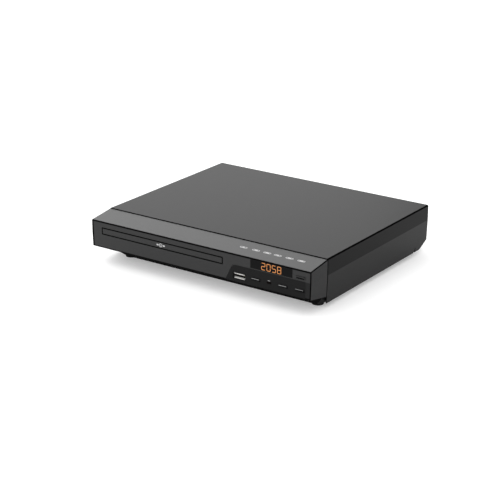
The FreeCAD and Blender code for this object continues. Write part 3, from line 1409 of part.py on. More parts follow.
def drive_gear():
    """Large wheel driven by the pinion, with the tall pinion that drives the rack on top of it."""
    bore_r = GEAR_POST_R + SHAFT_GAP
    wheel_top = GEAR_Z + DRIVE_FACE
    top = GROOVE_Z - RUN_GAP
    wheel = gear(DRIVE_X, DRIVE_Y, GEAR_Z, wheel_top, GEAR_MODULE, DRIVE_TEETH, 0)
    neck = post(DRIVE_X, DRIVE_Y, wheel_top, RACK_Z - RUN_GAP, bore_r + 2 * HUB_WALL)
    pinion = gear(DRIVE_X, DRIVE_Y, RACK_Z - RUN_GAP, top, RACK_MODULE, RACK_TEETH, 0)
    tools = [post(DRIVE_X, DRIVE_Y, GEAR_Z - CUT, top + CUT, bore_r)]
    ring_r = (GEAR_MODULE * DRIVE_TEETH / 2 + bore_r + 2 * HUB_WALL) / 2
    for number in range(WEB_HOLES):
        turn = 2 * math.pi * number / WEB_HOLES
        x = DRIVE_X + ring_r * math.cos(turn)
        y = DRIVE_Y + ring_r * math.sin(turn)
        tools.append(post(x, y, GEAR_Z - CUT, wheel_top + CUT, WEB_HOLE_R))
    return cut(joined(wheel, neck, pinion), *tools)


# Traverse: drawn level, then turned down about its trunnions to the place where the tray can pass over it
def lowered(shape):
    down = shape.copy()
    down.rotate(V(0, PIVOT_Y, PIVOT_Z), V(1, 0, 0), math.degrees(TILT))
    return down


def cam_pin_low_z():
    """Height of a cam pin's axis in the middle of the slider's wall with the traverse down."""
    reach = CAM_Y + CAM_WALL / 2 - PIVOT_Y
    along = (reach + CAM_PIN_RISE * math.sin(TILT)) / math.cos(TILT)
    return PIVOT_Z + along * math.sin(TILT) + CAM_PIN_RISE * math.cos(TILT)


def cam_slider():
    """Sliding wall with two slanted slots that lift the traverse's pins."""
    low_z = BASE_TOP_Z + FIT / 2
    x0 = CAM_PINS[0] - CAM_MARGIN
    x1 = CAM_PINS[-1] + CAM_STROKE + CAM_MARGIN
    slot_r = CAM_PIN_R + CAM_SLOT_GAP
    wall = box(x0, x1, CAM_Y, CAM_Y + CAM_WALL, low_z, CAM_PIN_Z + slot_r + CAM_HEAD)
    foot = box(x0, x1, CAM_Y - CAM_FOOT, CAM_Y, low_z, low_z + CAM_FOOT_THICK)
    slots = []
    for x in CAM_PINS:
        start = (x, cam_pin_low_z())
        end = (x + CAM_STROKE, CAM_PIN_Z)
        length = math.hypot(end[0] - start[0], end[1] - start[1])
        aside = (-(end[1] - start[1]) / length * slot_r, (end[0] - start[0]) / length * slot_r)
        lane = [
            (start[0] + aside[0], start[1] + aside[1]),
            (end[0] + aside[0], end[1] + aside[1]),
            (end[0] - aside[0], end[1] - aside[1]),
            (start[0] - aside[0], start[1] - aside[1]),
        ]
        slots.append(front_prism(lane, CAM_Y - CUT, CAM_Y + CAM_WALL + CUT))
        slots += [bar(u, v, CAM_Y - CUT, CAM_Y + CAM_WALL + CUT, slot_r) for u, v in (start, end)]
    return cut(joined(wall, foot), *slots)


def traverse_plate():
    """Steel plate with the sled's window, rod blocks, feed brackets, trunnions and cam pins."""
    low = PLATE_TOP_Z - PLATE_THICK
    rear_y = PIVOT_Y + PLATE_TAIL
    plate = box(TRAY_X - PLATE_HALF, TRAY_X + PLATE_HALF, PLATE_Y, rear_y, low, PLATE_TOP_Z)
    window = pillow(
        TRAY_X - SLED_WINDOW_HALF, TRAY_X + SLED_WINDOW_HALF, SLED_WINDOW_Y, SLED_WINDOW_REAR_Y,
        low - CUT, PLATE_TOP_Z + CUT, ROD_BLOCK, V(0, 0, 1),
    )
    bracket_y = SLED_WINDOW_Y - ROD_BLOCK
    gap = FEED_MOTOR_R + RUN_GAP
    notch_y = bracket_y - FEED_MOTOR_LENGTH - RUN_GAP
    notch = box(FEED_X - gap, WIDTH, notch_y, bracket_y, low - CUT, PLATE_TOP_Z + CUT)
    plate = cut(plate, window, notch)
    pieces = []
    holes = []
    top = ROD_Z + ROD_BLOCK_HALF
    for y in (bracket_y, SLED_WINDOW_REAR_Y):
        for x, half in (
            (TRAY_X - ROD_OFFSET, ROD_BLOCK_HALF),
            (TRAY_X + ROD_OFFSET, ROD_BLOCK_HALF),
            (FEED_X, FEED_BLOCK_HALF),
        ):
            pieces.append(box(x - half, x + half, y, y + ROD_BLOCK, low, top))
        for x in (TRAY_X - ROD_OFFSET, TRAY_X + ROD_OFFSET):
            holes.append(bar(x, ROD_Z, y - CUT, y + ROD_BLOCK + CUT, ROD_R + SHAFT_GAP))
        holes.append(bar(FEED_X, ROD_Z, y - CUT, y + ROD_BLOCK + CUT, FEED_SCREW_R + SHAFT_GAP))
    reach = PLATE_HALF + BUSH_GAP + BUSH_LENGTH
    trunnion = Part.makeCylinder(TRUNNION_R, 2 * reach, V(TRAY_X - reach, PIVOT_Y, PIVOT_Z), V(1, 0, 0))
    pieces.append(trunnion)
    tab_top = CAM_PIN_Z + CAM_PIN_R
    for x in CAM_PINS:
        half = TAB_WIDTH / 2
        pieces.append(box(x - half, x + half, PLATE_Y, PLATE_Y + PLATE_THICK, low, tab_top))
        pieces.append(bar(x, CAM_PIN_Z, CAM_Y - CAM_FOOT / 2, PLATE_Y, CAM_PIN_R))
    return lowered(cut(joined(plate, *pieces), *holes))


def traverse_bushes():
    """Rubber bushes between the trunnions and the loader's posts."""
    bushes = []
    for side in (-1, 1):
        x0 = TRAY_X + side * (PLATE_HALF + BUSH_GAP)
        x = min(x0, x0 + side * BUSH_LENGTH)
        inner_r = TRUNNION_R + SHAFT_GAP
        centre = V(x, PIVOT_Y, PIVOT_Z)
        outer = Part.makeCylinder(inner_r + BUSH_WALL, BUSH_LENGTH, centre, V(1, 0, 0))
        bushes.append(cut(outer, Part.makeCylinder(inner_r, BUSH_LENGTH, centre, V(1, 0, 0))))
    return Part.makeCompound(bushes)


def spindle_motor():
    low = DECK_Z - TURNTABLE_THICK - RUN_GAP
    edge = RUN_GAP
    shaft_top = DECK_Z + TURNTABLE_HUB / 2
    motor = turned(
        [
            (0, PLATE_TOP_Z),
            (SPINDLE_R, PLATE_TOP_Z),
            (SPINDLE_R, low - edge),
            (SPINDLE_R - edge, low),
            (SPINDLE_SHAFT_R, low),
            (SPINDLE_SHAFT_R, shaft_top),
            (0, shaft_top),
        ],
        TRAY_X, DISC_Y,
    )
    return lowered(motor)


def turntable():
    """Disc seat with a tapered centring hub, on the spindle's shaft."""
    low = DECK_Z - TURNTABLE_THICK
    bore = SPINDLE_SHAFT_R + SHAFT_GAP
    table = turned(
        [
            (bore, low),
            (TURNTABLE_R - TURNTABLE_THICK / 2, low),
            (TURNTABLE_R, low + TURNTABLE_THICK / 2),
            (TURNTABLE_R, DECK_Z),
            (TURNTABLE_HUB_R, DECK_Z),
            (TURNTABLE_HUB_TIP_R, DECK_Z + TURNTABLE_HUB),
            (bore, DECK_Z + TURNTABLE_HUB),
        ],
        TRAY_X, DISC_Y,
    )
    return lowered(table)


def guide_rods():
    y0 = SLED_WINDOW_Y - ROD_BLOCK
    y1 = SLED_WINDOW_REAR_Y + ROD_BLOCK
    rods = [bar(TRAY_X + side * ROD_OFFSET, ROD_Z, y0, y1, ROD_R) for side in (-1, 1)]
    return Part.makeCompound([lowered(rod) for rod in rods])


def pickup_sled():
    """Optical carriage on both rods, hollowed round the spindle motor, with the feed nut on its right."""
    y0 = LENS_Y - SLED_AHEAD
    y1 = LENS_Y + SLED_BEHIND
    body = box(TRAY_X - SLED_HALF, TRAY_X + SLED_HALF, y0, y1, PLATE_TOP_Z - SLED_DROP, SLED_TOP_Z)
    wing_low = PLATE_TOP_Z + 2 * FIT
    wings = box(
        TRAY_X - ROD_OFFSET - SLED_WING, FEED_X + FEED_BLOCK_HALF, y0, y1, wing_low, SLED_TOP_Z,
    )
    sled = joined(body, wings)
    tools = [
        bar(TRAY_X + side * ROD_OFFSET, ROD_Z, y0 - CUT, y1 + CUT, ROD_R + SHAFT_GAP) for side in (-1, 1)
    ]
    tools.append(bar(FEED_X, ROD_Z, y0 - CUT, y1 + CUT, FEED_SCREW_R + 2 * SHAFT_GAP))
    tools.append(post(TRAY_X, LENS_Y, SLED_TOP_Z - LENS_WELL, SLED_TOP_Z + CUT, LENS_STEM_R + RUN_GAP))
    tools.append(post(TRAY_X, DISC_Y, PAN_Z, TOP_Z, SLED_WINDOW_FRONT + 2 * RUN_GAP))
    return lowered(cut(sled, *tools))


def objective_lens():
    """Lens in its round holder, on a stem that floats in the sled."""
    low = SLED_TOP_Z + LENS_GAP
    top = low + LENS_HOLDER
    lens = turned(
        [
            (0, SLED_TOP_Z - LENS_STEM),
            (LENS_STEM_R, SLED_TOP_Z - LENS_STEM),
            (LENS_STEM_R, low),
            (LENS_HOLDER_R, low),
            (LENS_HOLDER_R, top),
            (LENS_R, top),
            (LENS_R / 2, top + LENS_DOME),
            (0, top + LENS_DOME),
        ],
        TRAY_X, LENS_Y,
    )
    return lowered(lens)


def feed_motor():
    y1 = SLED_WINDOW_Y - ROD_BLOCK
    return lowered(bar(FEED_X, ROD_Z, y1 - FEED_MOTOR_LENGTH, y1, FEED_MOTOR_R))


def feed_screw():
    y0 = SLED_WINDOW_Y - ROD_BLOCK + FIT
    return lowered(bar(FEED_X, ROD_Z, y0, SLED_WINDOW_REAR_Y + ROD_BLOCK, FEED_SCREW_R))


# Boards and sockets
def main_board():
    board = box(MAIN_LEFT, MAIN_RIGHT, MAIN_Y, MAIN_REAR_Y, BOARD_Z, BOARD_TOP_Z)
    return cut(board, *[screw_hole(x, y, BOARD_TOP_Z, V(0, 0, -1)) for x, y in BOARD_HOLES])


def power_board():
    board = box(MAIN_LEFT, POWER_RIGHT, POWER_Y, POWER_REAR_Y, BOARD_Z, BOARD_TOP_Z)
    return cut(board, *[screw_hole(x, y, BOARD_TOP_Z, V(0, 0, -1)) for x, y in BOARD_HOLES])


def main_chip():
    half = CHIP_SIDE / 2
    top = BOARD_TOP_Z + CHIP_THICK
    return box(CHIP_X - half, CHIP_X + half, CHIP_Y - half, CHIP_Y + half, BOARD_TOP_Z, top)


def heat_sink():
    """Extruded fins on a base, glued to the processor."""
    half = SINK_SIDE / 2
    y0 = CHIP_Y - half
    y1 = CHIP_Y + half
    low = BOARD_TOP_Z + CHIP_THICK
    base = box(CHIP_X - half, CHIP_X + half, y0, y1, low, low + SINK_BASE)
    step = (SINK_SIDE - FIN_THICK) / (SINK_FINS - 1)
    fins = []
    for number in range(SINK_FINS):
        x = CHIP_X - half + number * step
        fins.append(box(x, x + FIN_THICK, y0, y1, low, low + SINK_HEIGHT))
    return joined(base, *fins)


def av_socket():
    y1 = BACK_Y + AV_PROUD
    return cut(
        front_prism(av_outline(0), y1 - AV_DEPTH, y1),
        front_prism(av_outline(-AV_SHEET), y1 - AV_DEPTH - CUT, y1 + CUT),
    )


def av_socket_tongue():
    y1 = BACK_Y + AV_PROUD
    y0 = y1 - AV_DEPTH
    block = front_prism(av_outline(-AV_SHEET - SHAFT_GAP), y0, y0 + AV_BLOCK)
    half = AV_TONGUE_WIDTH / 2
    z = BOARD_TOP_Z + AV_HEIGHT / 2
    rise = AV_TONGUE_THICK / 2
    tongue = box(AV_X - half, AV_X + half, y0, y1 - AV_TONGUE_SETBACK, z - rise, z + rise)
    return joined(block, tongue)


def jack_body(x):
    """Moulded block on the board, with the collar in the rear panel and the core inside the sleeve."""
    half = JACK_BLOCK_WIDTH / 2
    y1 = BACK_IN_Y - FIT
    block = box(x - half, x + half, y1 - JACK_BLOCK_DEPTH, y1, BOARD_TOP_Z, BOARD_TOP_Z + JACK_BLOCK_HEIGHT)
    collar_y = BACK_Y + JACK_COLLAR
    collar = bar(x, JACK_Z, y1, collar_y, JACK_COLLAR_R)
    core_r = JACK_SLEEVE_R - JACK_SLEEVE_WALL - SHAFT_GAP
    end = BACK_Y + JACK_REACH - JACK_CORE_SETBACK
    core = bar(x, JACK_Z, collar_y, end, core_r)
    contact = bar(x, JACK_Z, end - JACK_CONTACT_DEPTH, end + CUT, JACK_CONTACT_R)
    return cut(joined(block, collar, core), contact)


def jack_sleeves():
    y0 = BACK_Y + JACK_COLLAR
    y1 = BACK_Y + JACK_REACH
    sleeves = [
        cut(
            bar(x, JACK_Z, y0, y1, JACK_SLEEVE_R),
            bar(x, JACK_Z, y0 - CUT, y1 + CUT, JACK_SLEEVE_R - JACK_SLEEVE_WALL),
        )
        for x in JACKS
    ]
    return Part.makeCompound(sleeves)


def inlet_pin_places():
    return [INLET_Z + side * INLET_PIN_PITCH / 2 for side in (-1, 1)]


def mains_inlet():
    """Moulded inlet with a recess shaped like a figure of eight."""
    half = INLET_WIDTH / 2
    rise = INLET_HEIGHT / 2
    lip = INLET_FLANGE
    y1 = BACK_Y + INLET_FLANGE_THICK
    body = box(INLET_X - half, INLET_X + half, BACK_Y - INLET_DEPTH, y1, INLET_Z - rise, INLET_Z + rise)
    wide = half + lip
    tall = rise + lip
    flange = box(INLET_X - wide, INLET_X + wide, BACK_Y, y1, INLET_Z - tall, INLET_Z + tall)
    floor = y1 - INLET_RECESS_DEPTH
    tools = [bar(INLET_X, z, floor, y1 + CUT, INLET_RECESS_R) for z in inlet_pin_places()]
    waist = INLET_WAIST / 2
    low, high = inlet_pin_places()
    tools.append(box(INLET_X - waist, INLET_X + waist, floor, y1 + CUT, low, high))
    tools += [bar(INLET_X, z, floor - CUT, floor + CUT, INLET_PIN_R + SHAFT_GAP) for z in (low, high)]
    return cut(joined(body, flange), *tools)


def inlet_pins():
    floor = BACK_Y + INLET_FLANGE_THICK - INLET_RECESS_DEPTH
    pins = [bar(INLET_X, z, floor - CUT, floor + INLET_PIN_LENGTH, INLET_PIN_R) for z in inlet_pin_places()]
    return Part.makeCompound(pins)


def wire_tube(points, radius, bend):
    """Round wire along straight runs with tangent arcs at the corners."""
    edges = []
    start = points[0]
    for before, corner, after in zip(points, points[1:], points[2:]):
        back = (before - corner).normalize()
        ahead = (after - corner).normalize()
        half = math.acos(back.dot(ahead)) / 2
        run = bend / math.tan(half)
        first = corner + back * run
        last = corner + ahead * run
        middle = corner + (back + ahead).normalize() * (bend / math.sin(half) - bend)
        edges.append(Part.LineSegment(start, first).toShape())
        edges.append(Part.Arc(first, middle, last).toShape())
        start = last
    edges.append(Part.LineSegment(start, points[-1]).toShape())
    path = Part.Wire(edges)
    way = (points[1] - points[0]).normalize()
    ring = Part.Wire(Part.makeCircle(radius, points[0], way))
    return path.makePipeShell([ring], True, False)


def connector_y():
    return POWER_REAR_Y - CONNECTOR_DEPTH


def power_connector():
    half = CONNECTOR_WIDTH / 2
    return pillow(
        INLET_X - half, INLET_X + half, connector_y(), POWER_REAR_Y,
        BOARD_TOP_Z, BOARD_TOP_Z + CONNECTOR_HEIGHT, BUTTON_EDGE, V(0, 1, 0),
    )


def mains_wires():
    """Two wires from the inlet forward to the power board's connector."""
    y0 = BACK_Y - INLET_DEPTH
    wires = []
    for side, z in zip((-1, 1), inlet_pin_places()):
        x = INLET_X + side * WIRE_PITCH / 2
        entry_z = BOARD_TOP_Z + CONNECTOR_ENTRY
        wires.append(wire_tube(
            [
                V(INLET_X, y0, z),
                V(INLET_X, y0 - WIRE_LEVEL_RUN, z),
                V(x, POWER_REAR_Y + WIRE_LEVEL_RUN, entry_z),
                V(x, POWER_REAR_Y, entry_z),
            ],
            WIRE_R, WIRE_BEND,
        ))
    return Part.makeCompound(wires)


def transformer_core():
    """Ferrite core: outer legs, middle leg and yokes around two windows."""
    half = CORE_WIDTH / 2
    y = TRANSFORMER_Y
    z0 = BOARD_TOP_Z
    z1 = z0 + CORE_HEIGHT
    core = box(
        TRANSFORMER_X - half, TRANSFORMER_X + half, y - CORE_DEPTH / 2, y + CORE_DEPTH / 2, z0, z1,
    )
    mid = CORE_MID_LEG / 2
    windows = [
        box(x0, x1, y - CORE_DEPTH, y + CORE_DEPTH, z0 + CORE_LEG, z1 - CORE_LEG)
        for x0, x1 in (
            (TRANSFORMER_X - half + CORE_LEG, TRANSFORMER_X - mid),
            (TRANSFORMER_X + mid, TRANSFORMER_X + half - CORE_LEG),
        )
    ]
    return cut(core, *windows)


def transformer_winding():
    half = CORE_WIDTH / 2 - CORE_LEG - FIT
    y = TRANSFORMER_Y
    reach = CORE_DEPTH / 2 + WINDING_BULGE
    z0 = BOARD_TOP_Z + CORE_LEG + FIT
    z1 = BOARD_TOP_Z + CORE_HEIGHT - CORE_LEG - FIT
    coil = pillow(
        TRANSFORMER_X - half, TRANSFORMER_X + half, y - reach, y + reach, z0, z1,
        WINDING_BULGE - FIT, V(0, 0, 1),
    )
    mid = CORE_MID_LEG / 2 + FIT
    leg = CORE_DEPTH / 2 + FIT
    return cut(coil, box(TRANSFORMER_X - mid, TRANSFORMER_X + mid, y - leg, y + leg, z0 - CUT, z1 + CUT))


def capacitor(x, y, radius, height):
    """A can with a crimped groove above its base and a bevelled top."""
    groove = CRIMP_DEPTH_SHARE * radius
    band = CRIMP_SHARE * height
    z0 = BOARD_TOP_Z
    z1 = z0 + height
    return turned(
        [
            (0, z0),
            (radius, z0),
            (radius, z0 + band),
            (radius - groove, z0 + band + band / 2),
            (radius, z0 + 2 * band),
            (radius, z1 - groove),
            (radius - groove, z1),
            (0, z1),
        ],
        x, y,
    )


def capacitors():
    big_x = MAIN_LEFT + CAPACITOR_ACROSS_SHARE * (POWER_RIGHT - MAIN_LEFT)
    big_y = POWER_Y + CAPACITOR_ALONG_SHARE * (POWER_REAR_Y - POWER_Y)
    cans = [capacitor(big_x, big_y, CAPACITOR_R, CAPACITOR_HEIGHT_SHARE * BODY_HEIGHT)]
    small_y = POWER_REAR_Y - SMALL_CAPACITOR_TAIL
    for place in range(SMALL_CAPACITOR_COUNT):
        x = MAIN_LEFT + SMALL_CAPACITOR_IN + place * SMALL_CAPACITOR_PITCH
        cans.append(capacitor(x, small_y, SMALL_CAPACITOR_R, SMALL_CAPACITOR_HEIGHT))
    return Part.makeCompound(cans)


def build():
    plain = [
        top_cover, front_panel, control_inlay, display_window, sensor_window, bottom_pan, rubber_feet,
        rear_panel, rear_screws, button_switches, front_board, display_module, remote_sensor, data_port_shell,
        data_port_tongue, board_screws, disc_tray, tray_door, loader_frame, loader_screws, clamp_bridge,
        disc_clamper, clamper_yoke, loading_motor, motor_pulley, drive_belt, pulley_gear, drive_gear,
        cam_slider, traverse_plate, traverse_bushes, spindle_motor, turntable, guide_rods, pickup_sled,
        objective_lens, feed_motor, feed_screw, main_board, power_board, main_chip, heat_sink, av_socket,
        av_socket_tongue, jack_sleeves, mains_inlet, inlet_pins, power_connector, mains_wires,
        transformer_core, transformer_winding, capacitors,
    ]
    nodes = {make.__name__: make() for make in plain}
    for name, (x, z) in BUTTONS.items():
        nodes[name] = push_button(x, z)
    for name, x in zip(("video_jack", "left_jack", "right_jack"), JACKS):
        nodes[name] = jack_body(x)
    return nodes


os.makedirs("parts", exist_ok=True)
for node, shape in build().items():
    shape.exportStep(os.path.join("parts", node + ".step"))
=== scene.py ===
from math import atan2, cos, pi, sin

import bmesh
import bpy
from mathutils import Matrix, Vector


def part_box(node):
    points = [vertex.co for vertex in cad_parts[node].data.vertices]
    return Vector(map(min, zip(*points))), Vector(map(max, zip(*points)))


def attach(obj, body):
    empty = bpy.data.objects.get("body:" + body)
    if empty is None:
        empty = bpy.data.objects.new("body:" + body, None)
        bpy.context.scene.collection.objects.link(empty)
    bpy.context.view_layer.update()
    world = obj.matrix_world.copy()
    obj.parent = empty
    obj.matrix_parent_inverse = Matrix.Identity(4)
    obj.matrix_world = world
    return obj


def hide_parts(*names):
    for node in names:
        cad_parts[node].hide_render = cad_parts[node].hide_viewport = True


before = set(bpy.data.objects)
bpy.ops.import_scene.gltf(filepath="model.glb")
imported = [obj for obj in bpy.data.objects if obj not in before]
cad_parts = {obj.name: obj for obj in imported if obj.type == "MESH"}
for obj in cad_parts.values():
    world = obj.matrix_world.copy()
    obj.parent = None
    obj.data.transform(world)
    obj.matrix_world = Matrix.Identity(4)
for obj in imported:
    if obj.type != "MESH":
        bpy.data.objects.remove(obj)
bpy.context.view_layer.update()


# Bottom pan: a folded tray of steel sheet that carries the loader and the boards.
# It is stamped, folded, and painted black before the rest goes in; the baked paint has a faint peel.
MM = 0.001
PAN_BLACK = (0.002, 0.002, 0.0021)
PAN_ROUGHNESS = 0.5
PAN_SHINE = 0.04
PAN_PEEL = 0.6 * MM
PEEL_DEPTH = 0.006 * MM
PEEL_DETAIL = 2.0
PEEL_SHARES = (0.9, 1.1)
PEEL_GLOSS_SPREAD = 0.03


def new_finish(name):
    """A fresh material: its nodes, links, shader, and the place on the piece that a pattern follows."""
    finish = bpy.data.materials.new(name)
    finish.use_nodes = True
    nodes = finish.node_tree.nodes
    return finish, nodes, finish.node_tree.links, nodes["Principled BSDF"], nodes.new("ShaderNodeTexCoord")


def shades(nodes, links, source, socket, low, high, start=0.3, end=0.7):
    """Spread a pattern between two colours on a socket."""
    ramp = nodes.new("ShaderNodeValToRGB")
    ramp.color_ramp.elements[0].position = start
    ramp.color_ramp.elements[1].position = end
    ramp.color_ramp.elements[0].color = (*low, 1.0)
    ramp.color_ramp.elements[1].color = (*high, 1.0)
    links.new(source, ramp.inputs["Fac"])
    links.new(ramp.outputs["Color"], socket)


def levels(nodes, links, source, socket, middle, spread):
    """Spread a pattern round a middle level on a socket."""
    span = nodes.new("ShaderNodeMapRange")
    span.inputs["To Min"].default_value = middle - spread
    span.inputs["To Max"].default_value = middle + spread
    links.new(source, span.inputs["Value"])
    links.new(span.outputs["Result"], socket)


def relief(nodes, links, source, shader, depth):
    """Raise the surface by a pattern."""
    bump = nodes.new("ShaderNodeBump")
    bump.inputs["Distance"].default_value = depth
    links.new(source, bump.inputs["Height"])
    links.new(bump.outputs["Normal"], shader.inputs["Normal"])


def speckle(nodes, links, place, size, detail):
    """A fine even noise with spots of about the given size."""
    noise = nodes.new("ShaderNodeTexNoise")
    noise.inputs["Scale"].default_value = 1 / size
    noise.inputs["Detail"].default_value = detail
    links.new(place.outputs["Object"], noise.inputs["Vector"])
    return noise.outputs["Fac"]


def times(colour, share):
    """A colour at a share of its strength."""
    return tuple(share * part for part in colour)


def grained(name, colour, roughness, spot, depth, specular, detail, shares, gloss_spread):
    """A finish whose fine grain changes its colour, gloss, and height a little."""
    finish, nodes, links, shader, place = new_finish(name)
    grain = speckle(nodes, links, place, spot, detail)
    dark, pale = (times(colour, share) for share in shares)
    shades(nodes, links, grain, shader.inputs["Base Color"], dark, pale)
    levels(nodes, links, grain, shader.inputs["Roughness"], roughness, gloss_spread)
    relief(nodes, links, grain, shader, depth)
    shader.inputs["Specular IOR Level"].default_value = specular
    return finish


def baked_paint(name, colour, roughness, peel, depth, specular):
    """Paint baked on sheet metal."""
    return grained(
        name, colour, roughness, peel, depth, specular, PEEL_DETAIL, PEEL_SHARES, PEEL_GLOSS_SPREAD,
    )


def dress(finish, *names):
    """Give CAD pieces their finish."""
    for name in names:
        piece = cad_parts[name]
        piece.data.materials.clear()
        piece.data.materials.append(finish)


dress(baked_paint("pan_paint", PAN_BLACK, PAN_ROUGHNESS, PAN_PEEL, PEEL_DEPTH, PAN_SHINE), "bottom_pan")


# Feet: four black rubber cups, pressed through the pan by their stems, and softer bushes of the same rubber
# round the traverse's trunnions. Rubber is matt and picks up a little dust.
FOOT_BLACK = (0.005, 0.005, 0.0055)
FOOT_MOTTLE = 0.8 * MM
RUBBER_DETAIL = 6.0
RUBBER_RELIEF = 0.02 * MM
RUBBER_ROUGHNESS = 0.82
RUBBER_SHINE = 0.25
DUST_SHARE = 2.5
DUST_START = 0.45
DUST_FULL = 0.8


def dull_rubber(name, colour, mottle):
    """Matt rubber with dust in its mottle."""
    finish, nodes, links, shader, place = new_finish(name)
    grain = speckle(nodes, links, place, mottle, RUBBER_DETAIL)
    dusty = times(colour, DUST_SHARE)
    shades(nodes, links, grain, shader.inputs["Base Color"], colour, dusty, DUST_START, DUST_FULL)
    relief(nodes, links, grain, shader, RUBBER_RELIEF)
    shader.inputs["Roughness"].default_value = RUBBER_ROUGHNESS
    shader.inputs["Specular IOR Level"].default_value = RUBBER_SHINE
    return finish


dress(dull_rubber("foot_rubber", FOOT_BLACK, FOOT_MOTTLE), "rubber_feet", "traverse_bushes")


# Circuit boards: glass cloth and resin under green solder resist, with copper runs that show through
# as paler lines. They stand on the pan's posts and behind the front panel.
RESIST_GREEN = (0.006, 0.075, 0.022)
RESIST_DARK_SHARE = 0.8
RUN_GREEN = (0.02, 0.14, 0.04)
RUN_PITCH = 6 * MM
RUN_WIDE_SHARE = 0.05
RUN_SOFT_SHARE = 0.1
RUN_RELIEF = 0.03 * MM
BOARD_ROUGHNESS = 0.34
BOARD_GLOSS_SPREAD = 0.06
green_board, nodes, links, shader, place = new_finish("green_board")
runs = nodes.new("ShaderNodeTexBrick")
runs.inputs["Scale"].default_value = 1 / RUN_PITCH
runs.inputs["Mortar Size"].default_value = RUN_WIDE_SHARE
runs.inputs["Mortar Smooth"].default_value = RUN_SOFT_SHARE
runs.inputs["Color1"].default_value = (*RESIST_GREEN, 1.0)
runs.inputs["Color2"].default_value = (*times(RESIST_GREEN, RESIST_DARK_SHARE), 1.0)
runs.inputs["Mortar"].default_value = (*RUN_GREEN, 1.0)
links.new(place.outputs["Object"], runs.inputs["Vector"])
links.new(runs.outputs["Color"], shader.inputs["Base Color"])
relief(nodes, links, runs.outputs["Fac"], shader, RUN_RELIEF)
levels(nodes, links, runs.outputs["Fac"], shader.inputs["Roughness"], BOARD_ROUGHNESS, BOARD_GLOSS_SPREAD)
dress(green_board, "main_board", "power_board", "front_board")


# Screws: pan-head screws with a cross recess, zinc-plated inside and blackened on the rear panel.
# Heads are cold formed; one is modelled and copied to the place of each screw in the frame.
SCREW_HEAD_R = 2.6 * MM
SCREW_HEAD = 1.8 * MM
SCREW_HEAD_EDGE = 0.8 * MM
SCREW_EDGE_STEPS = 4
SCREW_SHANK_R = 1.25 * MM
SCREW_LENGTH = 5.0 * MM
SCREW_TIP = 0.9 * MM
SCREW_TIP_SHARE = 0.3
SCREW_SIDES = 32
RECESS_ARM = 1.35 * MM
RECESS_SLOT = 0.55 * MM
RECESS_DEPTH = 1.2 * MM
RECESS_FLOOR_SHARE = 0.5
FACING = 0.9
SIDEWAYS = 0.1
MERGE_DISTANCE = 0.001 * MM
SMOOTH_ANGLE = pi / 5
ZINC = (0.60, 0.59, 0.54)
ZINC_ROUGHNESS = 0.3
SCREW_LINE = 0.3 * MM
LINE_DETAIL = 4.0
LINE_DARK_SHARE = 0.84
LINE_GLOSS_SPREAD = 0.08
ACROSS = (0.05, 1.0, 1.0)
ALONG = (1.0, 0.05, 1.0)
UPRIGHT = (1.0, 1.0, 0.05)


def deselect():
    """Leave edit mode with nothing selected."""
    if bpy.context.object and bpy.context.object.mode != "OBJECT":
        bpy.ops.object.mode_set(mode="OBJECT")
    bpy.ops.object.select_all(action="DESELECT")


def edit(piece):
    """Open a piece for editing with nothing selected."""
    deselect()
    piece.select_set(True)
    bpy.context.view_layer.objects.active = piece
    bpy.ops.object.mode_set(mode="EDIT")
    bpy.ops.mesh.select_all(action="DESELECT")


def pick_faces(piece, chosen):
    """Select the faces whose middle and normal suit."""
    bpy.ops.mesh.select_mode(type="FACE")
    bpy.ops.mesh.select_all(action="DESELECT")
    shape = bmesh.from_edit_mesh(piece.data)
    for face in shape.faces:
        face.select_set(chosen(face.calc_center_median(), face.normal))
    bmesh.update_edit_mesh(piece.data)


def pick_edges(piece, chosen):
    """Select the edges whose two ends suit."""
    bpy.ops.mesh.select_mode(type="EDGE")
    bpy.ops.mesh.select_all(action="DESELECT")
    shape = bmesh.from_edit_mesh(piece.data)
    for line in shape.edges:
        line.select_set(chosen(line.verts[0].co, line.verts[1].co))
    bmesh.update_edit_mesh(piece.data)


def block(width, depth, height):
    """A box at the origin, its size in its mesh, ready to be shaped."""
    deselect()
    bpy.ops.mesh.primitive_cube_add(size=1.0, scale=(width, depth, height))
    bpy.ops.object.transform_apply(location=False, rotation=False, scale=True)
    return bpy.context.object


def move(piece, x, y, z):
    """Shift a piece's mesh, while the piece itself stays at the origin."""
    piece.data.transform(Matrix.Translation((x, y, z)))


def cut_away(piece, tool):
    """Take a tool's shape out of a piece."""
    deselect()
    bpy.context.view_layer.objects.active = piece
    change = piece.modifiers.new("cut", "BOOLEAN")
    change.object = tool
    change.solver = "EXACT"
    bpy.ops.object.modifier_apply(modifier=change.name)
    bpy.data.objects.remove(tool)


